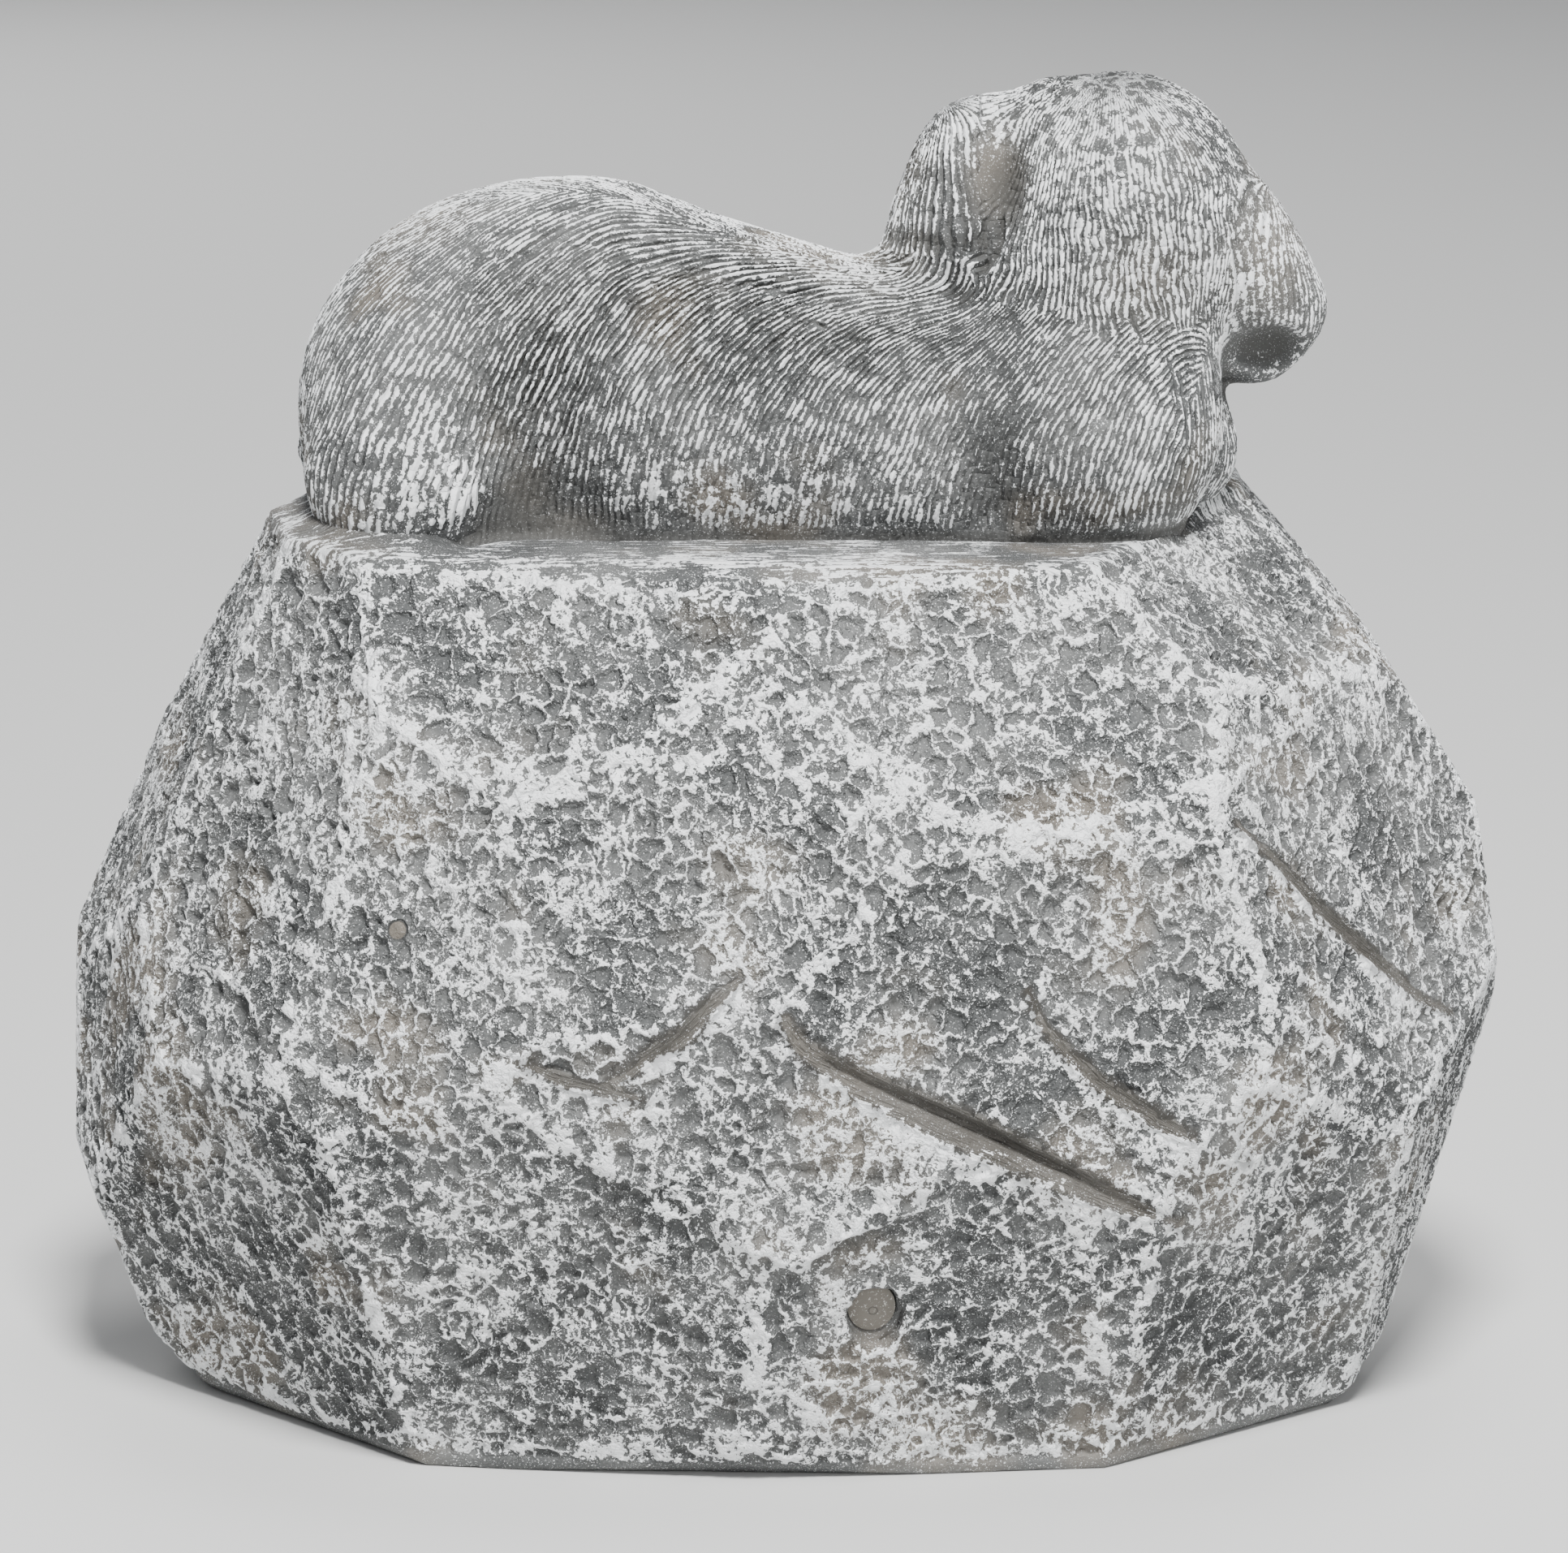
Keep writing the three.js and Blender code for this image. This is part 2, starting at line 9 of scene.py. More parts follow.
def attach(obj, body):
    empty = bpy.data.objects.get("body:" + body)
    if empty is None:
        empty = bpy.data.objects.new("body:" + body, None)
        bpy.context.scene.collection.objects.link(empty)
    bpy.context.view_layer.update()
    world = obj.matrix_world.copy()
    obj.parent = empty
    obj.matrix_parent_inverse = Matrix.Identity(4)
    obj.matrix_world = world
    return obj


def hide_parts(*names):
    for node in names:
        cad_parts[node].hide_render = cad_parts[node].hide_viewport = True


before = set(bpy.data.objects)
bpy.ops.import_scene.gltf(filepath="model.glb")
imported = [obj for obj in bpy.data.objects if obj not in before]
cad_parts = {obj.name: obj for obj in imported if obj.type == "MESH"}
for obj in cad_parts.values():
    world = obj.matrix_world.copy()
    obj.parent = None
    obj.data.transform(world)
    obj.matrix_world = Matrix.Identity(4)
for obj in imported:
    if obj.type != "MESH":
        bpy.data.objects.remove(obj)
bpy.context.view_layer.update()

# Dog
# The upper part of the casting: a dog lying on the ledge with its back to the near side and its
# head turned away. Its coat was combed into the clay model with a wire tool, parted along the
# spine, and its foot was smoothed onto the boulder with a wet brush.

MM = 0.001
LEDGE = 155.5 * MM


def solid_part(name, above):
    """The casting above or below its ledge, closed, as a new object."""
    mesh = bmesh.new()
    mesh.from_mesh(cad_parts["dog_on_boulder"].data)
    bmesh.ops.remove_doubles(mesh, verts=mesh.verts, dist=1e-6)
    cut = LEDGE + (0.05 if above else -0.05) * MM
    bmesh.ops.bisect_plane(
        mesh,
        geom=[*mesh.verts, *mesh.edges, *mesh.faces],
        plane_co=(0, 0, cut),
        plane_no=(0, 0, 1),
        clear_inner=above,
        clear_outer=not above,
    )
    rim = [edge for edge in mesh.edges if edge.is_boundary]
    if above:
        foot = bmesh.ops.extrude_edge_only(mesh, edges=rim)["geom"]
        low = [part for part in foot if isinstance(part, bmesh.types.BMVert)]
        bmesh.ops.translate(mesh, verts=low, vec=(0, 0, -3.5 * MM))
        rim = [part for part in foot if isinstance(part, bmesh.types.BMEdge) and part.is_boundary]
    bmesh.ops.triangle_fill(mesh, use_beauty=True, edges=rim)
    bmesh.ops.recalc_face_normals(mesh, faces=mesh.faces)
    data = bpy.data.meshes.new(name)
    mesh.to_mesh(data)
    mesh.free()
    made = bpy.data.objects.new(name, data)
    bpy.context.scene.collection.objects.link(made)
    return made


def applied(piece):
    """Turns the piece's modifiers into its plain mesh."""
    bpy.context.view_layer.update()
    shown = piece.evaluated_get(bpy.context.evaluated_depsgraph_get())
    data = bpy.data.meshes.new_from_object(shown)
    piece.modifiers.clear()
    piece.data = data
    return piece


def fine_skin(piece, cell):
    skin = piece.modifiers.new("fine skin", "REMESH")
    skin.mode = "VOXEL"
    skin.voxel_size = cell
    skin.use_smooth_shade = True
    return applied(piece)


def places_of(piece):
    places = np.zeros(len(piece.data.vertices) * 3, np.float32)
    piece.data.vertices.foreach_get("co", places)
    return places.reshape(-1, 3).astype(float)


def set_places(piece, places):
    piece.data.vertices.foreach_set("co", places.astype(np.float32).ravel())
    piece.data.update()


def normals_of(piece):
    out = np.zeros(len(piece.data.vertices) * 3, np.float32)
    piece.data.vertex_normals.foreach_get("vector", out)
    return out.reshape(-1, 3).astype(float)


def edges_of(piece):
    ends = np.zeros(len(piece.data.edges) * 2, np.int32)
    piece.data.edges.foreach_get("vertices", ends)
    return ends.reshape(-1, 2)


def eased(values, edges, rounds, share=0.6):
    """Averages a value, or a place, with its neighbours along the mesh's edges."""
    values = values.reshape(len(values), -1).copy()
    count = len(values)
    ends = np.concatenate([edges[:, 0], edges[:, 1]])
    others = np.concatenate([edges[:, 1], edges[:, 0]])
    degree = np.maximum(np.bincount(ends, minlength=count), 1)
    for _ in range(rounds):
        for k in range(values.shape[1]):
            mean = np.bincount(ends, weights=values[others, k], minlength=count) / degree
            values[:, k] += share * (mean - values[:, k])
    return values


def step(low, high, value):
    share = np.clip((value - low) / (high - low), 0, 1)
    return share * share * (3 - 2 * share)


def store(piece, name, values):
    vector = values.ndim == 2
    kind = "FLOAT_VECTOR" if vector else "FLOAT"
    layer = piece.data.attributes.new(name, kind, "POINT")
    layer.data.foreach_set("vector" if vector else "value", values.astype(np.float32).ravel())


def shaded_smooth(piece):
    piece.data.polygons.foreach_set("use_smooth", [True] * len(piece.data.polygons))


UNIT = 1.62 * MM  # the dog's forms are given in hundredths of its length
DOG_CELL = 0.43 * MM
DOG_FACETS = 195000
COMB_DEPTH = 0.55 * MM
COMB_BUMP = 0.38 * MM


def turned(place, roll, pitch, yaw=0):
    spin = (Matrix.Rotation(math.radians(yaw), 3, "Z")
            @ Matrix.Rotation(math.radians(roll), 3, "Y")
            @ Matrix.Rotation(math.radians(pitch), 3, "X"))
    return np.array(spin), np.array(place, float)


HEAD = turned([35.3, 6.2, 31.6], 17, -8)
LEFT_EAR = turned([17.4, 6.5, 32.6], 24, 0, 8)
RIGHT_EAR = turned([52, 8.5, 24.4], -20, 0, -6)
UPRIGHT = turned([0, 0, 0], 0, 0)


def ball(points, middle, radii):
    off = (points - middle) / radii
    near = np.linalg.norm(off, axis=1)
    slope = np.linalg.norm(off / radii, axis=1)
    return near * (near - 1) / np.maximum(slope, 1e-9)


def limb(points, start, finish, first, last):
    start, finish = np.array(start, float), np.array(finish, float)
    span = finish - start
    share = np.clip((points - start) @ span / (span @ span), 0, 1)
    gap = np.linalg.norm(points - start - share[:, None] * span, axis=1)
    return gap - (first + share * (last - first))


# Each form: the frame it is in, the width over which it melts into the rest, its shape and sizes.
FORMS = [
    (UPRIGHT, 6, ball, [-27.4, 6.4, 10.2], [24.6, 18.5, 24.4]),
    (UPRIGHT, 6, limb, [-18.5, 6.4, 14.6], [12, 3, 11.6], 19.4, 14),
    (UPRIGHT, 6, limb, [-21.6, 1.2, 4.9], [21.6, 0, 4.9], 12.3, 12.3),
    (UPRIGHT, 7, limb, [-37.5, -1.5, 13.5], [-39.4, -6.6, 5.5], 11.5, 11.2),
    (UPRIGHT, 4, ball, [-34, 17, 8.6], [15, 11, 15]),
    (UPRIGHT, 6, ball, [32, -2.5, 9.5], [14, 12.3, 15]),
    (UPRIGHT, 6, limb, [30.5, 7.4, 8.6], [33.2, 12.3, 10.5], 13, 12),
    (UPRIGHT, 6, limb, [30.5, 3, 13], [35.3, 5.2, 27.5], 14.4, 13.4),
    (UPRIGHT, 6, limb, [35, 12, 15], [35, 20, 4], 9.5, 7),
    (UPRIGHT, 4, limb, [42, 8, 5.5], [43.4, 23, 4.2], 7, 5.2),
    (UPRIGHT, 4, limb, [26, 10, 5.5], [26.4, 23, 4.2], 7, 5.2),
    (UPRIGHT, 3, limb, [-27, 22, 5], [-15, 26, 3.4], 5.6, 4.4),
    (UPRIGHT, 2, ball, [43.6, 27.5, 3.6], [5.2, 6.4, 4.8]),
    (UPRIGHT, 2, ball, [26.4, 27.5, 3.6], [5.2, 6.4, 4.8]),
    (UPRIGHT, 2, ball, [-11, 27, 3], [6.2, 4.8, 4.2]),
]
TAIL_ROUTE = [[-46, 8, 7], [-48.5, 17, 4], [-45, 25, 2.6], [-38, 29, 2.2], [-30, 31, 2]]
for i, (first, second) in enumerate(zip(TAIL_ROUTE[:-1], TAIL_ROUTE[1:])):
    FORMS.append((UPRIGHT, 2.5, limb, first, second, 4.6 - 0.6 * i, 4 - 0.6 * i))
FORMS += [
    (HEAD, 6, ball, [0, 0, 0], [14.2, 15.2, 15.2]),
    (HEAD, 5, limb, [0, 9, -5.5], [0, 19, -8], 8.4, 5.8),
]
for side in (-1, 1):
    FORMS += [
        (HEAD, 4, ball, [8 * side, 7.5, -6.5], [6, 6.5, 6.5]),
        (HEAD, 2.5, ball, [4.8 * side, 11.8, 3.4], [4.4, 3.4, 2.6]),
        (HEAD, 1.5, ball, [3.1 * side, 19.5, -9.6], [3.2, 4.2, 3.2]),
    ]
FORMS += [
    (UPRIGHT, 4, limb, [28, 5.5, 41.5], [20.5, 6, 38.5], 4.2, 4.6),
    (LEFT_EAR, 5, ball, [0, 0, 0], [5.4, 8.6, 10.6]),
    (UPRIGHT, 4, ball, [22.2, 1.6, 30.6], [4.2, 5, 5.4]),
    (RIGHT_EAR, 5.5, ball, [0, 0, 0], [4.8, 8.5, 10]),
    (UPRIGHT, 2, limb, [50, 7.5, 27], [54.6, 7, 21.6], 4, 3.5),
    (UPRIGHT, 2.5, ball, [50.5, 10, 17.4], [5.4, 7, 4.8]),
    (HEAD, 0.5, ball, [0, 24.2, -5.8], [2.7, 2, 2.1]),
]
HOLLOWS = [
    (UPRIGHT, 5, ball, [22.6, -4.6, 36.5], [2.2, 3.6, 4.2]),
    (UPRIGHT, 2, ball, [60.5, 8, 12], [6, 12, 5.5]),
    (UPRIGHT, 0.7, ball, [52.2, -0.8, 16.6], [5.4, 6.8, 3.9]),
    (UPRIGHT, 8, limb, [-31, -21.5, 20], [-25, -18, 5], 1.6, 3.2),
    (UPRIGHT, 4, ball, [-25, -15.5, 1], [7, 3.8, 4.4]),
    (UPRIGHT, 5, limb, [19, -17.5, 16], [22, -16, 3], 1.6, 2.6),
]
EYES = []
for side in (-1, 1):
    HOLLOWS += [
        (HEAD, 0.8, ball, [5 * side, 14.6, -0.4], [2.3, 2.2, 1.5]),
        (HEAD, 0.3, ball, [1.2 * side, 26, -6], [0.6, 0.8, 0.6]),
    ]
    EYES.append((HEAD, 0.3, ball, [5 * side, 13.2, -0.4], [1.9, 1.9, 1.5]))


def melted(a, b, soft):
    overlap = np.maximum(soft - np.abs(a - b), 0) / soft
    return np.minimum(a, b) - overlap * overlap * soft / 4


def dog_form(points):
    """How far outside the dog each point lies, in its own hundredths; negative inside."""
    whole = np.full(len(points), 1e3)

    def shape(form):
        (spin, place), _, kind, *sizes = form
        return kind((points - place) @ spin, *sizes)

    for form in FORMS:
        whole = melted(whole, shape(form), form[1])
    for form in HOLLOWS:
        whole = -melted(-whole, shape(form), form[1])
    for form in EYES:
        whole = melted(whole, shape(form), form[1])
    return whole


def in_dog(places):
    return (places - np.array([0, 0, LEDGE])) / UNIT


def slope_of(points, width=0.05):
    return np.stack([
        dog_form(points + shift) - dog_form(points - shift)
        for shift in np.eye(3) * width
    ], axis=1) / (2 * width)


dog = fine_skin(solid_part("dog", above=True), DOG_CELL)
dog_edges = edges_of(dog)
body = in_dog(eased(places_of(dog), dog_edges, 14))
foot = body[:, 2] < 0.15
for _ in range(3):
    slope = slope_of(body)
    size = np.maximum(np.linalg.norm(slope, axis=1), 0.3)
    move = np.clip(dog_form(body) / size, -0.8, 0.8)
    move[foot & (body[:, 2] < -0.1)] = 0
    body -= (move / size)[:, None] * slope
    body = np.where(foot[:, None], body, eased(body, dog_edges, 1, 0.3))
set_places(dog, body * UNIT + np.array([0, 0, LEDGE]))

x, y, z = (body * UNIT / MM).T  # millimetres from the middle of the ledge


def around(x0, y0, radius):
    """Coordinates for strokes that run straight down, round an upright line."""
    turn = np.arctan2(x - x0, -(y - y0))
    return np.stack([z, turn * radius, np.zeros(len(x))], axis=1)


def spread_from(middle, out, radius, width):
    """Coordinates for strokes that run away from a point on a rounded form."""
    axis = np.array(out) / np.linalg.norm(out)
    level = np.cross(axis, [0, 0, 1])
    level /= np.linalg.norm(level)
    steep = np.cross(level, axis)
    off = np.stack([x, y, z], axis=1) - middle
    off /= np.maximum(np.linalg.norm(off, axis=1), 1e-6)[:, None]
    tilt = np.arccos(np.clip(off @ axis, -1, 1))
    turn = np.arctan2(off @ level, -(off @ steep))
    return np.stack([tilt * radius, turn * width, tilt], axis=1)


# Back and flanks: strokes leave the parting at a shallow angle, sweep back and turn down.
middle_y = np.interp(x, [-30, 20], [10.4, 4.9])
middle_z = np.interp(x, [-30, 20], [20.0, 17.0])
over = np.arctan2(-(y - middle_y), z - middle_z) - math.radians(12)
below = 30 * np.abs(over)
SWEEP, TURN_WITHIN = 2.9, 19.0
lean = SWEEP * TURN_WITHIN * (1 - np.exp(-below / TURN_WITHIN))
comb = np.stack([below + 0.4 * lean, x + lean, np.zeros(len(x))], axis=1)

rump = spread_from([-44, 12, 16], [0.2, -0.15, 1], 34, 36)
chest_down = around(48, 6, 30)
ears_left = around(28, 10.5, 11)
ears_right = around(84, 13.8, 12)
is_left = (z > 44) & (x < 34) & (x > 12)
is_right = (x > 74) & (z > 22)
belly_down = np.stack([z, x, np.zeros(len(x))], axis=1)
down = np.where(((y > 14) & (x < 36))[:, None], belly_down, chest_down)
down = np.where((x < -5)[:, None], rump, down)
down = np.where(is_left[:, None], ears_left, down)
down = np.where(is_right[:, None], ears_right, down)
crown = spread_from([57, 10, 51], [-0.03, -0.05, 1], 25, 24)

left_ear_share = step(36, 32, x) * step(44, 48, z) * (x > 12)
right_ear_share = step(75, 79, x) * step(24, 28, z)
ear_share = np.where(x < 50, left_ear_share, right_ear_share)
head_share = step(30, 44, z + 0.12 * (x - 50)) * step(28, 38, x) * (1 - ear_share)
down_share = np.maximum(step(-45, -60, x), step(62, 76, x) * step(40, 30, z))
down_share = np.maximum(down_share, step(14, 22, y) * step(30, 20, z))
down_share = np.clip(np.maximum(down_share, ear_share) * (1 - head_share), 0, 1)
near_spine = step(17, 9, below)
share = np.stack([near_spine, down_share, head_share], axis=1)

soft = eased(body, dog_edges, 45)
bulge = np.einsum("ij,ij->i", body - soft, normals_of(dog)) * UNIT / MM
bulge = eased(bulge, dog_edges, 6)[:, 0]
hollow = step(0.02, 0.38, -bulge)
proud = step(0.05, 0.45, bulge)


def patch(middle, above, wide, tall, amount, lean=0.0):
    """A soft patch on the near side, at a place along the dog and above the ledge."""
    across = (x - middle - lean * (z - above)) / wide
    return amount * np.exp(-(across**2) - (((z - above) / tall) ** 2)) * step(30, 8, y)


def patched(base, spots):
    """An even layer with soft patches added, each a place, a width, a height and an amount."""
    layer = np.full(len(x), float(base))
    for spot in spots:
        layer += patch(*spot)
    return layer


# How deep the cuts between the strokes run: deepest on the flank, the thigh and round the left ear.
CUTS = [
    (-18, 40, 30, 14, 0.75), (12, 40, 20, 12, 0.6), (-41, 24, 8, 17, 0.95),
    (20, 58, 6, 9, 0.8), (45, 74, 7, 8, 0.6), (42, 41, 14, 4, 0.5),
    (-66, 40, 16, 30, -0.2), (-12, 8, 32, 9, -0.2),
]
# How much pale pigment the brush left, and on the top of the rump and the head also painted light
# from above: most on the top of the rump, the head and the hind foot.
PALE_PATCHES = [
    (-46, 63, 34, 9, 0.3), (-8, 10, 32, 9, -0.05), (-60, 18, 7, 14, 0.06), (-55, 7, 4, 4.5, 0.7),
    (58, 58, 26, 22, 0.2), (30, 72, 14, 7, 0.3), (30, 44, 30, 6, 0.2), (66, 18, 18, 16, 0.10),
    (-2, 55, 20, 5, 0.12), (84, 40, 12, 16, 0.15), (34, 12, 8, 12, -0.2), (-34, 14, 10, 20, -0.05),
]
# Painted shade, where the pigment also never reached: behind the thigh, beside the left ear and
# under the belly.
SHADED = [
    (38.5, 55, 2.2, 3, 0.5), (26, 48.5, 9, 1.5, 0.7), (-46, 5, 6, 8, 0.75, 0.3),
    (-36, 2, 8, 2.6, 0.5), (36, 10, 5, 12, 0.32), (-49, 22, 4, 10, 0.25, -0.4),
    (34, 55, 4.5, 8, 0.25),
]
BROWN_PATCHES = [
    (36, 60, 4, 6, 0.6), (18, 62, 5, 6, 0.4), (-38, 2, 7, 2.5, 0.3), (84, 46, 7, 10, 0.35),
    (62, 44, 8, 7, 0.25),
]
# Where the clay was smoothed and has few strokes.
SMOOTHED = [
    (83, 26, 10, 8, 1.4), (36, 60, 3.6, 6, 1.1), (-38, 1.8, 8, 2.2, 0.8), (-46, 5, 5, 7, 0.85),
]
# Where the strokes give way to a broken net of pigment.
NETTED = [
    (-8, 9, 34, 9, 0.95), (-66, 8, 16, 9, 0.6), (-58, 16, 8, 10, 0.4), (27, 66, 9, 7, 0.8),
    (84, 46, 10, 16, 0.5),
]
at_ends = np.maximum(step(-52, -62, x), step(68, 75, x))
at_crown = np.clip(patch(53, 69, 13, 9, 1.2), 0, 1)
crown[:, 2] = 0
rump[:, 2] = 0
cut = patched(0.30, CUTS)
pale = patched(0.36, PALE_PATCHES) + 0.12 * proud - 0.08 * at_crown
# Painted shade: these patches, the hollows of the form, and a band along the bottom edge under the
# belly.
shade = patched(0, SHADED) + 0.75 * hollow + 0.6 * step(1.3, 0.2, z) * (1 - at_ends)
stained = patched(0, BROWN_PATCHES)
netted = patched(0, NETTED) + 0.35 * head_share + 0.6 * at_crown
calm = np.maximum(step(3.4, 0.8, z) * np.maximum(at_ends, 0.7), 0.2 * at_crown)
calm = np.maximum(calm, 0.6 * step(74, 80, x) * step(24, 30, z))
calm = np.maximum(calm, step(2.0, 1.3, np.hypot(x - 53.6, z - 20.6)) * step(0, -5, y))
for spot in SMOOTHED:
    calm = np.maximum(calm, patch(*spot))
plainness = 1 - 0.45 * step(14, 34, y)
store(dog, "place", body * UNIT + np.array([0, 0, LEDGE]))
store(dog, "comb", comb)
store(dog, "down", down)
store(dog, "crown", crown)
store(dog, "share", share)
store(dog, "cut", np.clip(1.25 * cut, 0.14, 1.6) * plainness)
store(dog, "pale", np.clip(pale, 0, 1))
store(dog, "shade", np.clip(shade, 0, 1))
store(dog, "stained", np.clip(stained, 0, 1))
store(dog, "calm", np.clip(calm, 0, 1))
store(dog, "netted", np.clip(netted, 0, 0.9))


def wired(tree, socket, value):
    """Puts a value, or a link to another node, on an input."""
    if isinstance(value, bpy.types.NodeSocket):
        tree.links.new(value, socket)
    else:
        socket.default_value = value


def sums(tree, operation, *values, clamp=False):
    node = tree.nodes.new("ShaderNodeMath")
    node.operation = operation
    node.use_clamp = clamp
    for i, value in enumerate(values):
        wired(tree, node.inputs[i], value)
    return node.outputs[0]


def plus(tree, first, second, clamp=False):
    return sums(tree, "ADD", first, second, clamp=clamp)


def minus(tree, first, second, clamp=False):
    return sums(tree, "SUBTRACT", first, second, clamp=clamp)


def times(tree, first, second):
    return sums(tree, "MULTIPLY", first, second)


def between(tree, value, low, high, start=0.0, end=1.0, smooth=True):
    node = tree.nodes.new("ShaderNodeMapRange")
    node.interpolation_type = "SMOOTHSTEP" if smooth else "LINEAR"
    for name, number in zip(("Value", "From Min", "From Max", "To Min", "To Max"),
                            (value, low, high, start, end)):
        wired(tree, node.inputs[name], number)
    return node.outputs["Result"]


def noise(tree, place, per_metre, detail, rough):
    node = tree.nodes.new("ShaderNodeTexNoise")
    node.noise_dimensions = "3D"
    wired(tree, node.inputs["Vector"], place)
    node.inputs["Scale"].default_value = per_metre
    node.inputs["Detail"].default_value = detail
    node.inputs["Roughness"].default_value = rough
    return node.outputs


def speckle(tree, place, per_metre, detail=2.0, rough=0.5):
    return noise(tree, place, per_metre, detail, rough)[0]


def wander(tree, place, per_metre, detail, rough=0.5):
    """Three noises about a half, to bend a pattern out of its straight rows."""
    return noise(tree, place, per_metre, detail, rough)["Color"]


def moved(tree, operation, *values):
    node = tree.nodes.new("ShaderNodeVectorMath")
    node.operation = operation
    for i, value in enumerate(values):
        if operation == "SCALE" and i == 1:
            wired(tree, node.inputs["Scale"], value)
        else:
            wired(tree, node.inputs[i], value)
    return node.outputs["Value"] if operation in ("LENGTH", "DOT_PRODUCT") else node.outputs[0]


def cell_edge(tree, place, per_metre):
    """Distance to the border between two cells of an uneven net."""
    node = tree.nodes.new("ShaderNodeTexVoronoi")
    node.voronoi_dimensions = "3D"
    node.feature = "DISTANCE_TO_EDGE"
    wired(tree, node.inputs["Vector"], place)
    wired(tree, node.inputs["Scale"], per_metre)
    return node.outputs["Distance"]


def relief_tree(name, group_height):
    """A Geometry Nodes tree that sinks the surface by a pattern."""
    tree = bpy.data.node_groups.new(name, "GeometryNodeTree")
    face = tree.interface
    face.new_socket("Geometry", in_out="INPUT", socket_type="NodeSocketGeometry")
    face.new_socket("Depth", in_out="INPUT", socket_type="NodeSocketFloat")
    face.new_socket("Material", in_out="INPUT", socket_type="NodeSocketMaterial")
    face.new_socket("Geometry", in_out="OUTPUT", socket_type="NodeSocketGeometry")
    start = tree.nodes.new("NodeGroupInput")
    end = tree.nodes.new("NodeGroupOutput")

    def layer(label, kind="FLOAT"):
        node = tree.nodes.new("GeometryNodeInputNamedAttribute")
        node.data_type = kind
        node.inputs["Name"].default_value = label
        return node.outputs["Attribute"]

    height = group_height(tree, layer)
    push = tree.nodes.new("GeometryNodeSetPosition")
    normal = tree.nodes.new("GeometryNodeInputNormal")
    down = times(tree, height, start.outputs["Depth"])
    wired(tree, push.inputs["Offset"], moved(tree, "SCALE", normal.outputs[0], down))
    real = tree.nodes.new("GeometryNodeRealizeInstances")
    coat = tree.nodes.new("GeometryNodeSetMaterial")
    tree.links.new(start.outputs["Geometry"], push.inputs["Geometry"])
    tree.links.new(push.outputs[0], real.inputs[0])
    tree.links.new(real.outputs[0], coat.inputs["Geometry"])
    tree.links.new(start.outputs["Material"], coat.inputs["Material"])
    tree.links.new(coat.outputs[0], end.inputs[0])
    return tree


def carve(piece, tree, depth, material):
    carving = piece.modifiers.new("carving", "NODES")
    carving.node_group = tree
    for item in tree.interface.items_tree:
        if item.in_out == "INPUT" and item.name == "Depth":
            carving[item.identifier] = depth
        if item.in_out == "INPUT" and item.name == "Material":
            carving[item.identifier] = material
    return applied(piece)


def thinned(piece, facets):
    now = sum(len(face.vertices) - 2 for face in piece.data.polygons)
    thin = piece.modifiers.new("thin", "DECIMATE")
    thin.ratio = min(1.0, facets / now)
    return applied(piece)


DARK_STONE = (0.076, 0.079, 0.079, 1)
MID_STONE = (0.158, 0.161, 0.158, 1)
PALE_STONE = (0.90, 0.915, 0.92, 1)
BROWN_STAIN = (0.27, 0.225, 0.17, 1)
# Near black for painted shade, in the deep places and the air holes.
PAINTED_SHADE_DARK = (0.055, 0.054, 0.05, 1)


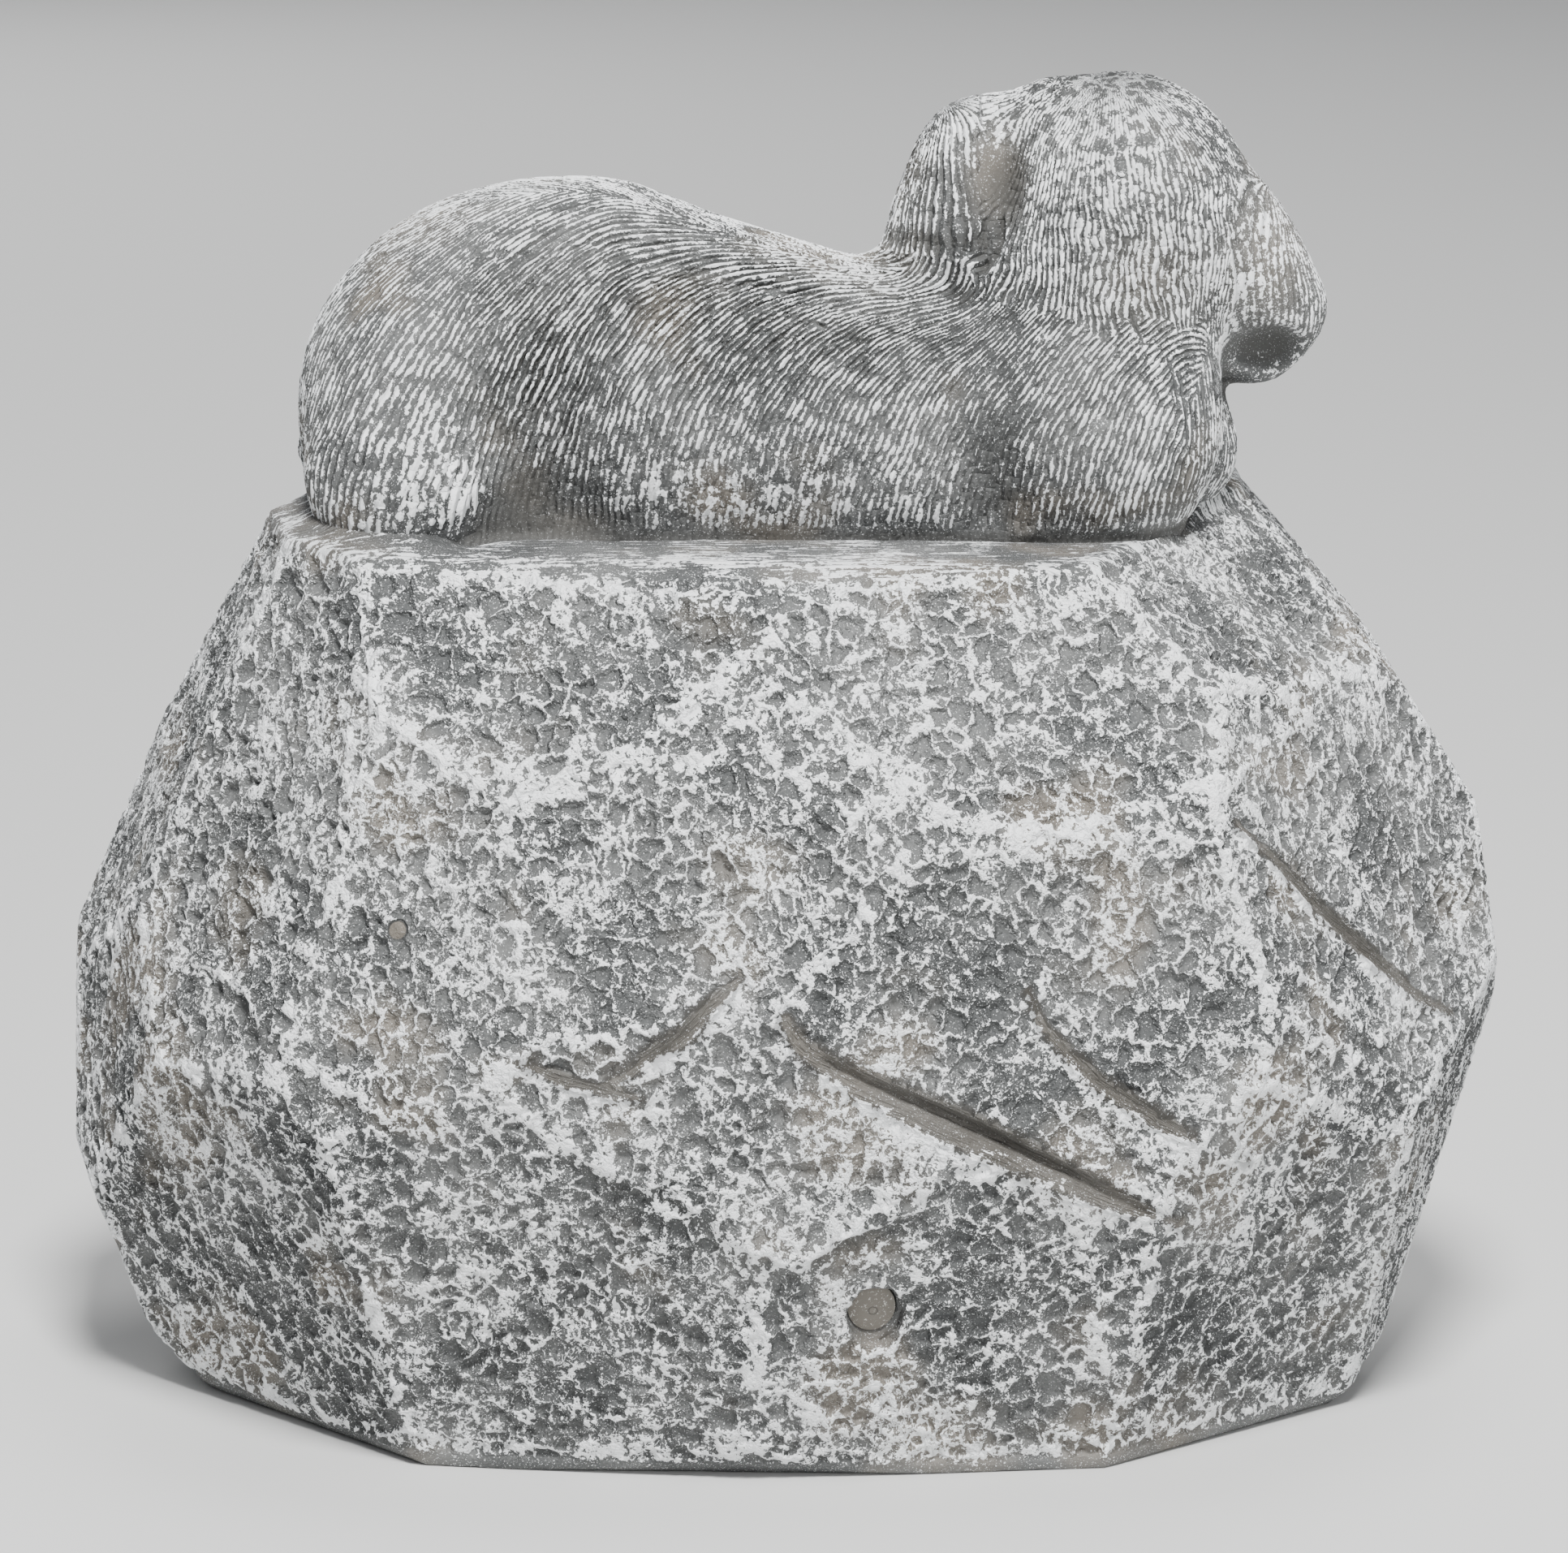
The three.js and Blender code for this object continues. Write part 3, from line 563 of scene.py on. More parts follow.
def dry_brush_group():
    """Pale pigment dragged over the high places of dark stone, with brown stains and air holes."""
    group = bpy.data.node_groups.new("dry brushed stone", "ShaderNodeTree")
    face = group.interface
    face.new_socket("Place", in_out="INPUT", socket_type="NodeSocketVector")
    for label in ("High", "Wear And Highlight", "Deep", "Stained"):
        face.new_socket(label, in_out="INPUT", socket_type="NodeSocketFloat")
    face.new_socket("Color", in_out="OUTPUT", socket_type="NodeSocketColor")
    face.new_socket("Height", in_out="OUTPUT", socket_type="NodeSocketFloat")
    start, end = group.nodes.new("NodeGroupInput"), group.nodes.new("NodeGroupOutput")
    place, high, pale_wear_and_highlight, dark, stain = start.outputs[:5]
    grain = speckle(group, place, 2200, 3.0, 0.6)
    patchy = speckle(group, place, 210, 4.0, 0.62)
    ragged = speckle(group, place, 850, 2.0, 0.6)
    broad = speckle(group, place, 45, 2.0, 0.5)
    loaded = high
    for spread, amount in ((grain, 0.85), (ragged, 1.15), (patchy, 1.1), (broad, 0.5)):
        loaded = plus(group, loaded, times(group, minus(group, spread, 0.5), amount))
    uneven = between(group, plus(group, patchy, ragged), 0.75, 1.25, 0.22, 0.85)
    loaded = plus(group, loaded, times(group, pale_wear_and_highlight, uneven))
    loaded = minus(group, loaded, dark)
    fleck = between(group, speckle(group, place, 3300, 2.0, 0.6), 0.61, 0.67)
    fleck = times(group, fleck, between(group, loaded, -0.2, 0.6, 0.15, 0.9))
    white = sums(group, "MAXIMUM", between(group, loaded, 0.77, 0.87), fleck)

    def mixed(share, first, second):
        node = group.nodes.new("ShaderNodeMix")
        node.data_type = "RGBA"
        wired(group, node.inputs[0], share)
        wired(group, node.inputs[6], first)
        wired(group, node.inputs[7], second)
        return node.outputs[2]

    paler = between(group, plus(group, broad, times(group, grain, 0.4)), 0.5, 0.9)
    body = mixed(paler, DARK_STONE, MID_STONE)
    clouds = between(group, speckle(group, place, 42, 2.0), 0.52, 0.72, 0.0, 0.4)
    browner = sums(group, "MAXIMUM", clouds, times(group, stain, 0.8))
    body = mixed(browner, body, BROWN_STAIN)
    # Painted shade: the Deep input darkens the stone toward near black in creases, hollows, cracks
    # and cut grooves.
    body = mixed(times(group, dark, 0.8), body, PAINTED_SHADE_DARK)
    tone = mixed(white, body, PALE_STONE)
    # The air holes are dots of painted shade, with no relief of their own.
    holes = group.nodes.new("ShaderNodeTexVoronoi")
    wired(group, holes.inputs["Vector"], place)
    holes.inputs["Scale"].default_value = 170
    chosen = group.nodes.new("ShaderNodeSeparateColor")
    group.links.new(holes.outputs["Color"], chosen.inputs[0])
    size = between(group, chosen.outputs[0], 0.78, 1.0, 0.0, 0.07, smooth=False)
    hole = sums(group, "LESS_THAN", holes.outputs["Distance"], size)
    tone = mixed(times(group, hole, 0.85), tone, PAINTED_SHADE_DARK)
    group.links.new(tone, end.inputs["Color"])
    group.links.new(times(group, grain, 0.35), end.inputs["Height"])
    return group


dry_brush = dry_brush_group()


def stone_material(name, high_of, distance):
    """Cast stone whose high places come from a pattern on the piece's own layers."""
    material = bpy.data.materials.new(name)
    material.use_nodes = True
    tree = material.node_tree
    shader = tree.nodes["Principled BSDF"]

    def layer(label, kind="FLOAT"):
        node = tree.nodes.new("ShaderNodeAttribute")
        node.attribute_name = label
        return node.outputs["Vector" if kind == "FLOAT_VECTOR" else "Fac"]

    high, standing, pale_wear_and_highlight, dark, stain = high_of(tree, layer)
    brushed = tree.nodes.new("ShaderNodeGroup")
    brushed.node_tree = dry_brush
    wired(tree, brushed.inputs["Place"], layer("place", "FLOAT_VECTOR"))
    for label, value in (("High", high), ("Wear And Highlight", pale_wear_and_highlight), ("Deep", dark), ("Stained", stain)):
        wired(tree, brushed.inputs[label], value)
    tree.links.new(brushed.outputs["Color"], shader.inputs["Base Color"])
    bump = tree.nodes.new("ShaderNodeBump")
    bump.inputs["Strength"].default_value = 0.8
    bump.inputs["Distance"].default_value = distance
    relief = sums(tree, "MULTIPLY_ADD", standing, 2.3, brushed.outputs["Height"])
    tree.links.new(relief, bump.inputs["Height"])
    tree.links.new(bump.outputs["Normal"], shader.inputs["Normal"])
    shader.inputs["Roughness"].default_value = 0.86
    shader.inputs["Specular IOR Level"].default_value = 0.3
    return material


def parts_of(tree, vector):
    node = tree.nodes.new("ShaderNodeSeparateXYZ")
    wired(tree, node.inputs[0], vector)
    return node.outputs[:3]


def joined(tree, *numbers):
    node = tree.nodes.new("ShaderNodeCombineXYZ")
    for i, number in enumerate(numbers):
        wired(tree, node.inputs[i], number)
    return node.outputs[0]


def chance(tree, cell):
    """One random value, and three, that hold for a whole cell."""
    node = tree.nodes.new("ShaderNodeTexWhiteNoise")
    node.noise_dimensions = "3D"
    wired(tree, node.inputs["Vector"], cell)
    return node.outputs["Value"], node.outputs["Color"]


def strokes(tree, way, wide, long, seed):
    """Combed strokes in staggered rows.

    Gives how near a place is to the ridge between two rows, and how far into a cut.
    """
    way_parts = parts_of(tree, way)
    across = sums(tree, "MULTIPLY_ADD", way_parts[1], 1.0 / wide, seed)
    row = sums(tree, "FLOOR", across)
    inside = minus(tree, across, row)
    start = chance(tree, joined(tree, row, seed, 0.5))[0]
    along = sums(tree, "MULTIPLY_ADD", way_parts[0], 1.0 / long, times(tree, start, 7.3))
    mark = sums(tree, "FLOOR", along)
    run = minus(tree, along, mark)
    picks = parts_of(tree, chance(tree, joined(tree, row, mark, seed))[1])
    rise = times(tree, times(tree, run, 4.0), minus(tree, 1.0, run))
    taper = sums(tree, "SQRT", rise)
    middle = sums(tree, "MULTIPLY_ADD", picks[0], 0.34, 0.33)
    width = sums(tree, "MULTIPLY_ADD", picks[1], 0.18, 0.16)
    half = sums(tree, "MULTIPLY_ADD", width, taper, 0.03)
    off = sums(tree, "ABSOLUTE", minus(tree, inside, middle))
    groove = between(tree, off, times(tree, half, 0.3), half, 1.0, 0.0)
    groove = times(tree, groove, sums(tree, "MULTIPLY_ADD", picks[2], 0.6, 0.4))
    crest = sums(tree, "FLOOR", plus(tree, across, 0.5))
    beside = sums(tree, "ABSOLUTE", minus(tree, across, crest))
    start = chance(tree, joined(tree, crest, seed, 8.5))[0]
    along = sums(tree, "MULTIPLY_ADD", way_parts[0], 1.35 / long, times(tree, start, 5.9))
    mark = sums(tree, "FLOOR", along)
    run = minus(tree, along, mark)
    pick = chance(tree, joined(tree, crest, mark, seed + 3.0))[0]
    rise = times(tree, times(tree, run, 4.0), minus(tree, 1.0, run))
    fullness = sums(tree, "MULTIPLY_ADD", pick, 0.42, 0.33)
    body = times(tree, sums(tree, "SQRT", rise), fullness)
    ridge = sums(tree, "MULTIPLY_ADD", beside, -1.75, plus(tree, body, 0.34))
    return joined(tree, ridge, groove, 0.0)


def combed(tree, layer):
    """The ridge and the groove of the coat at a place, from the four fields of strokes."""
    place = layer("place", "FLOAT_VECTOR")
    centred = moved(tree, "SUBTRACT", wander(tree, place, 60, 5.0, 0.55), (0.5, 0.5, 0.5))
    bend = moved(tree, "SCALE", centred, 4.6)
    ways = {}
    for name in ("comb", "down", "crown"):
        ways[name] = moved(tree, "ADD", layer(name, "FLOAT_VECTOR"), bend)
    ruffle = speckle(tree, place, 85, 1.0)
    ruffled = joined(tree, 0.0, sums(tree, "MULTIPLY_ADD", ruffle, 5.0, -2.5), 0.0)
    ways["crown"] = moved(tree, "ADD", ways["crown"], ruffled)
    shares = parts_of(tree, layer("share", "FLOAT_VECTOR"))
    ragged = minus(tree, speckle(tree, place, 190, 1.0), 0.5)
    flank = strokes(tree, ways["comb"], wide=1.28, long=8.0, seed=3.7)
    spine = strokes(tree, ways["comb"], wide=2.4, long=12.0, seed=9.2)
    straight = strokes(tree, ways["down"], wide=1.3, long=7.5, seed=5.1)
    whorl = strokes(tree, ways["crown"], wide=1.08, long=3.7, seed=7.4)

    def chosen(share, first, second):
        sharp = between(tree, sums(tree, "MULTIPLY_ADD", ragged, 1.9, share), 0.4, 0.6)
        gap = moved(tree, "SUBTRACT", second, first)
        return moved(tree, "ADD", first, moved(tree, "SCALE", gap, sharp))

    coat = chosen(shares[0], flank, spine)
    coat = chosen(shares[1], coat, straight)
    return parts_of(tree, chosen(shares[2], coat, whorl))[:2]


def combed_height(tree, layer):
    ridge, groove = combed(tree, layer)
    valley = between(tree, ridge, 0.1, 0.8, 0.45, 0.0)
    sunk = plus(tree, times(tree, groove, layer("cut")), valley)
    return times(tree, sunk, minus(tree, layer("calm"), 1.0))


def coat_high(tree, layer):
    """What the brush meets on the coat. The bump gets the plain strokes, without the broken net."""
    ridge, groove = combed(tree, layer)
    smooth = layer("calm")
    rough = minus(tree, 1.0, smooth)
    cuts = times(tree, times(tree, groove, layer("cut")), rough)
    standing = sums(tree, "MULTIPLY_ADD", cuts, -0.5, times(tree, ridge, rough))
    place = layer("place", "FLOAT_VECTOR")
    broken = minus(tree, speckle(tree, place, 430, 2.0), 0.5)
    sway = wander(tree, place, 300, 3.0)
    bent = moved(tree, "ADD", place, moved(tree, "SCALE", sway, 4.0 * MM))
    cells = cell_edge(tree, moved(tree, "MULTIPLY", bent, (1.0, 1.0, 0.62)), 330)
    net = between(tree, cells, 0.0, 0.36, 0.86, 0.0, smooth=False)
    ridge = sums(tree, "MULTIPLY_ADD", minus(tree, net, ridge), layer("netted"), ridge)
    ridge = sums(tree, "MULTIPLY_ADD", broken, 1.05, ridge)
    high = sums(tree, "MULTIPLY_ADD", layer("pale"), 0.75, times(tree, ridge, rough))
    high = minus(tree, high, times(tree, cuts, 0.5))
    high = sums(tree, "MULTIPLY_ADD", smooth, 0.35, high)
    # Painted shade: the shade layer and the cut grooves darken the coat.
    dark = plus(tree, layer("shade"), times(tree, cuts, 0.75), clamp=True)
    return high, standing, 0.0, dark, layer("stained")


combed_stone = stone_material("combed stone", coat_high, COMB_BUMP)
carve(dog, relief_tree("combed coat", combed_height), COMB_DEPTH, combed_stone)
thinned(dog, DOG_FACETS)
shaded_smooth(dog)
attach(dog, "root")
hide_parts("dog_on_boulder")

# Boulder
# The lower part of the same casting: a block of cast stone dressed with flat cuts, then pecked all
# over with a point, so that its faces are a net of small pits. It stands on its own flat underside.

ROCK_CELL = 0.66 * MM
ROCK_FACETS = 196000
PIT_DEPTH = 1.5 * MM
PIT_BUMP = 0.55 * MM
boulder = fine_skin(solid_part("boulder", above=False), ROCK_CELL)
rock_edges = edges_of(boulder)
rock = eased(places_of(boulder), rock_edges, 4)
set_places(boulder, rock)
rock_out = normals_of(boulder)
x, y, z = (rock / MM).T


def gap_to_route(places, route):
    """Distance to a line through points in millimetres, share along it and offset upwards."""
    points = np.array(route) * MM
    lengths = np.linalg.norm(np.diff(points, axis=0), axis=1)
    starts = np.concatenate([[0], np.cumsum(lengths)])
    gap, share, side = np.full(len(places), 1.0), np.zeros(len(places)), np.zeros(len(places))
    for a, b, start, length in zip(points[:-1], points[1:], starts, lengths):
        low, high = np.minimum(a, b) - 16 * MM, np.maximum(a, b) + 16 * MM
        rows = np.flatnonzero(((places > low) & (places < high)).all(axis=1))
        along = np.clip((places[rows] - a) @ (b - a) / length**2, 0, 1)
        off = places[rows] - (a + along[:, None] * (b - a))
        far = np.linalg.norm(off, axis=1)
        near = far < gap[rows]
        gap[rows[near]] = far[near]
        share[rows[near]] = ((start + along * length) / starts[-1])[near]
        side[rows[near]] = off[near, 2]
    return gap, share, side


# What the mason left on the faces: cracks, layered steps, low ridges and the arrises of the cuts.
CRACKS = [
    (1.0, [[0.3, -76.7, 85.9], [3.2, -76.4, 80.8], [11.1, -75.9, 75.7], [31.1, -73.6, 65.6],
           [51.8, -70.9, 54.6], [67.2, -64.7, 47.1]]),
    (0.5, [[40.7, -70, 89.3], [43.2, -70.1, 83.1], [52.3, -69.5, 73.3], [65.7, -68.2, 64.2],
           [78.7, -59.5, 56.2]]),
    (0.6, [[-7.5, -74.7, 92.2], [-12.9, -75.7, 87.5], [-16.6, -76.3, 83.3], [-29.3, -75.3, 74.3]]),
    (0.4, [[-44, -75.4, 78.3], [-35.9, -75.2, 74.8], [-22.7, -75.2, 71.7]]),
    (0.6, [[75.9, -56.8, 114.6], [83.6, -49.8, 105.4], [91.5, -42.9, 95.5], [109.5, -25.5, 75.7],
           [116.3, -17.7, 70.3]]),
]
STEPS = [
    (0.9, [[-37.4, -74.0, 63.8], [-27.9, -73.5, 57.1], [-19.1, -73.8, 55.5], [-9.5, -73.2, 46.5],
           [2.7, -72.2, 41.1], [8.7, -73.1, 46.5], [22.1, -73.4, 52.2], [26.8, -74.8, 60.2]]),
    (0.6, [[-102.8, -37.9, 84.0], [-93.0, -48.7, 84.1], [-85.4, -60.9, 76.9], [-77.0, -65.7, 71.9],
           [-68.0, -70.1, 67.6]]),
    (0.6, [[84.0, -58.0, 90.1], [90.2, -51.6, 84.2], [96.5, -45.9, 76.6], [103.5, -38.5, 69.7]]),
]
LOW_RIDGES = [
    (0.8, [[26.8, -74.8, 60.2], [35.4, -73.3, 61.7], [45.7, -71.9, 58.1], [50.2, -69.1, 47.8],
     [51.6, -66.3, 38.6], [54.5, -60.4, 19.2]]),
    (0.5, [[-73.2, -45.7, 132.7], [-72.8, -50.2, 124.8], [-72.9, -55.1, 115.0]]),
    (0.6, [[73.3, -43.4, 137.4], [81.7, -36.6, 133.5], [91.0, -24.9, 128.2], [85.3, -35.5, 125.5],
     [78.9, -46.7, 124.1], [72.3, -59.2, 120.1]]),
    (0.6, [[-72, -43, 140], [-69, -50, 134], [-60, -57, 126], [-46, -64, 121], [-27, -62, 127.5],
           [-14, -58.5, 136], [-4, -54, 145]]),
    (0.6, [[-3, -55, 143], [4, -59, 136], [14, -63, 127], [29, -67, 117.5], [47, -66, 115.5],
           [69, -59, 120.5]]),
]
CRACK_HALF = 3.3 * MM  # half the width of the widest crack
STEP_RISE, STEP_RUN = 1.9, 7 * MM  # the rise in millimetres, and how far it takes to fade
ARRIS_HALF = 1.6 * MM
calm = np.zeros(len(rock))
deep = np.zeros(len(rock))
worn = np.zeros(len(rock))
stained = np.zeros(len(rock))
raised = np.zeros(len(rock))
run = np.stack([x * 0.1, y * 0.9, np.zeros(len(rock))], axis=1)
for size, route in CRACKS:
    gap, share, side = gap_to_route(rock, route)
    ends = np.sin(np.pi * np.clip(share, 0.02, 0.98))
    reach = CRACK_HALF * size * (0.35 + 0.65 * ends)
    inside = 1 - step(0.75 * reach, 1.25 * reach, gap)
    calm = np.maximum(calm, inside)
    # Painted shade inside the crack, darkest on its upper wall, which faces away from the light
    # above.
    upper = step(-0.35 * reach, 0.45 * reach, side)
    deep = np.maximum(deep, inside * (0.5 + 0.42 * upper) * (0.4 + 0.6 * ends))
    stained = np.maximum(stained, inside * 0.4)
    # The crack's lower lip, facing up to the light, is painted pale: worn pigment and a painted
    # highlight.
    lip = np.exp(-(((gap - 1.2 * reach) / (1.1 * MM)) ** 2)) * (side < 0) * (0.4 + 0.6 * ends)
    worn = np.maximum(worn, 1.5 * lip)
    raised += 0.35 * lip
    in_crack = (gap < 1.3 * reach)[:, None]
    length = sum(np.linalg.norm(np.diff(np.array(route), axis=0), axis=1))
    ways = np.stack([share * length * 0.12, side / MM * 1.6, np.full(len(rock), 3.0)], axis=1)
    run = np.where(in_crack, ways, run)
for size, route in STEPS:
    gap, share, side = gap_to_route(rock, route)
    ends = np.sqrt(np.sin(np.pi * np.clip(share, 0.0, 1.0)))
    above = step(-0.9 * MM, 0.7 * MM, side)
    raised += STEP_RISE * size * ends * np.exp(-gap / STEP_RUN) * above
    lip = np.exp(-((gap / (1.5 * MM)) ** 2)) * ends
    worn = np.maximum(worn, 1.25 * lip * above)
    # Painted shadow under the step's overhanging lip.
    under_lip = np.exp(-(((gap - 1.6 * MM) / (1.1 * MM)) ** 2)) * ends * (1 - above)
    deep = np.maximum(deep, 0.3 * under_lip)
for size, route in LOW_RIDGES:
    gap, share, side = gap_to_route(rock, route)
    crest = np.exp(-((gap / (1.7 * MM)) ** 2))
    raised += size * crest
    worn = np.maximum(worn, crest)
    calm = np.maximum(calm, 0.2 * crest)

whole = bmesh.new()
whole.from_mesh(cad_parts["dog_on_boulder"].data)
bmesh.ops.remove_doubles(whole, verts=whole.verts, dist=1e-6)
whole.normal_update()
arris = np.full(len(rock), 1.0)
for edge in whole.edges:
    a, b = (np.array(vert.co) / MM for vert in edge.verts)
    on_rock = 1 < max(a[2], b[2]) < 156
    is_long = edge.calc_length() > 10.5 * MM
    if on_rock and is_long and len(edge.link_faces) == 2:
        if edge.calc_face_angle_signed(0) > math.radians(9):
            arris = np.minimum(arris, gap_to_route(rock, [a, b])[0])
whole.free()
arris = np.exp(-((arris / ARRIS_HALF) ** 2))
worn = np.maximum(worn, 0.8 * arris)
calm = np.maximum(calm, 0.15 * arris)

# The hole round the plug: a little narrower and taller than the solid's, with its floor lifted
# beside the plug. Level runs along the face and steep runs down it. The hole sits a little lower
# than the solid's and the plug a little higher.
PLUG_SEAT = Vector((15.2, -68.2, 31.7)) * MM
PLUG_OUT = Vector((0.10, -0.956, -0.276)).normalized()
PLUG_LEVEL = PLUG_OUT.cross(Vector((0, 0, -1))).normalized()
PLUG_STEEP = PLUG_LEVEL.cross(PLUG_OUT).normalized()
HOLE_LEVEL_BY, HOLE_STEEP_BY, HOLE_OVAL = 0.3 * MM, 0.65 * MM, 0.12
PLUG_LEVEL_BY, PLUG_STEEP_BY = -0.25 * MM, -0.5 * MM
PLUG_HALF_WIDE, PLUG_HALF_TALL = 4.0 * MM, 4.65 * MM
PLUG_PROUD = 0.7 * MM
from_seat = rock - np.array(PLUG_SEAT)
above_seat = from_seat @ np.array(PLUG_OUT)
from_axis = np.linalg.norm(from_seat - above_seat[:, None] * np.array(PLUG_OUT), axis=1)
in_recess = (1 - step(5.0 * MM, 5.7 * MM, from_axis)) * (above_seat > -10 * MM)
narrowing = (1 - step(5.8 * MM, 12 * MM, from_axis)) * (above_seat > -10 * MM)
level = from_seat @ np.array(PLUG_LEVEL)
steep = from_seat @ np.array(PLUG_STEEP)
level = level + narrowing * (HOLE_LEVEL_BY - HOLE_OVAL * level)
steep = steep + narrowing * (HOLE_STEEP_BY + HOLE_OVAL * steep)
plug_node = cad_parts["filler_plug"]
plug_spots = [plug_node.matrix_world @ vert.co for vert in plug_node.data.vertices]
plug_face = max((spot - PLUG_SEAT).dot(PLUG_OUT) for spot in plug_spots)
beside_plug = np.hypot((level - PLUG_LEVEL_BY) / PLUG_HALF_WIDE,
                       (steep - PLUG_STEEP_BY) / PLUG_HALF_TALL)
lifted = (in_recess > 0.5) & (beside_plug > 1.04)
above_seat = np.where(lifted, np.maximum(above_seat, plug_face - PLUG_PROUD), above_seat)
rock = (np.array(PLUG_SEAT) + above_seat[:, None] * np.array(PLUG_OUT)
        + level[:, None] * np.array(PLUG_LEVEL) + steep[:, None] * np.array(PLUG_STEEP))
calm = np.maximum(calm, in_recess)
# Painted shade in the recess round the plug.
deep = np.maximum(deep, 0.2 * in_recess)
worn = worn * (1 - in_recess)

on_ledge = step(152.8, 154.8, z)
at_foot = 1 - step(2.4, 3.4, z)
worn = np.maximum(worn * (1 - at_foot), 0.5 * np.exp(-((z - 4.4) ** 2)))
calm = np.maximum(calm, np.maximum(0.95 * on_ledge, at_foot))
BUBBLE = (-64.6 * MM, -63.3 * MM, 98.0 * MM)  # the small flat disc that a bubble left
disc = np.linalg.norm(rock - np.array(BUBBLE), axis=1)
calm = np.maximum(calm, 1 - step(1.6 * MM, 2.4 * MM, disc))

# The foot of the dog: brushed onto the ledge at both ends, a crease along its belly darkened with
# painted shade.
FILLET_RISE, FILLET_RUN = 3.3, 3.0
CREASE_HALF = 1.7
top = np.flatnonzero(z > 152)
from_dog = np.full(len(rock), 99.0)
from_dog[top] = dog_form(in_dog(rock[top])) * UNIT / MM
out = np.maximum(from_dog, 0)
dog_ends = np.maximum(step(-52, -62, x), step(68, 75, x))
brushed_up = dog_ends * FILLET_RISE * np.exp(-out / FILLET_RUN)
crease = (1 - dog_ends) * np.exp(-((from_dog / CREASE_HALF) ** 2))
rock[:, 2] += (brushed_up - crease) * step(154.6, 155.3, z) * MM
# Painted shade along the crease under the belly and round the brushed foot at both ends.
deep = np.maximum(deep, 0.75 * (1 - dog_ends) * np.exp(-((from_dog / 1.3) ** 2)))
deep = np.maximum(deep, 0.25 * dog_ends * np.exp(-out / FILLET_RUN) * on_ledge)

rounded = eased(rock, rock_edges, 20)
convex = np.einsum("ij,ij->i", rock - rounded, rock_out)
convex = eased(convex, rock_edges, 4)[:, 0]
rubbed = step(0.06 * MM, 0.25 * MM, convex) * (1 - at_foot) * (1 - in_recess)
worn = np.maximum(worn, 0.35 * rubbed)
rock = rock + rock_out * (raised * MM * (1 - on_ledge))[:, None]
set_places(boulder, rock)
plainness = 1 - 0.45 * step(15, 45, y)
store(boulder, "place", rock)
store(boulder, "run", run)
store(boulder, "rough", (1 - calm) * plainness)
store(boulder, "calm", calm)
store(boulder, "deep", deep)
store(boulder, "worn", worn)
store(boulder, "stained", stained)
store(boulder, "brushed", np.maximum(on_ledge, 0.7 * (run[:, 2] > 1) * calm))


def pecked(tree, place):
    """How far into a pit a place lies, how near a painted crest, and how near the bare net."""
    centred = moved(tree, "SUBTRACT", wander(tree, place, 290, 4.0, 0.6), (0.5, 0.5, 0.5))
    bent = moved(tree, "ADD", place, moved(tree, "SCALE", centred, 6.2 * MM))
    bent = moved(tree, "MULTIPLY", bent, (1.0, 1.0, 0.84))
    large = cell_edge(tree, bent, 255)
    small = cell_edge(tree, moved(tree, "ADD", bent, (0.3, 0.1, 0.2)), 590)
    fine_here = between(tree, speckle(tree, place, 95, 1.0), 0.40, 0.60)
    wide = between(tree, large, 0.0, 0.34)
    close = between(tree, small, 0.0, 0.34, 0.6, 1.0)
    softened = sums(tree, "MAXIMUM", close, minus(tree, 1.0, fine_here))
    bowl = times(tree, wide, softened)
    net = between(tree, large, 0.0, 0.27, 0.86, 0.0, smooth=False)
    thicker = between(tree, speckle(tree, bent, 255, 1.0), 0.35, 0.7, 0.0, 0.2, smooth=False)
    crest = plus(tree, net, thicker)
    small_crest = between(tree, small, 0.0, 0.36, 0.84, 0.0, smooth=False)
    crest = sums(tree, "MAXIMUM", crest, times(tree, small_crest, fine_here))
    elsewhere = moved(tree, "ADD", place, (2.0, 0.0, 1.0))
    lined = between(tree, speckle(tree, elsewhere, 48, 1.0), 0.60, 0.66)
    wave = sums(tree, "SINE", moved(tree, "DOT_PRODUCT", bent, (3600.0, 700.0, 900.0)))
    line = times(tree, between(tree, wave, -1.0, 1.0, 0.0, 1.0, smooth=False), lined)
    return bowl, sums(tree, "MAXIMUM", crest, line), net


def pecked_height(tree, layer):
    place = layer("place", "FLOAT_VECTOR")
    bowl = pecked(tree, place)[0]
    uneven = speckle(tree, place, 60, 2.0)
    depth = between(tree, uneven, 0.3, 0.7, 0.65, 1.2)
    return times(tree, times(tree, bowl, depth), times(tree, layer("rough"), -1.0))


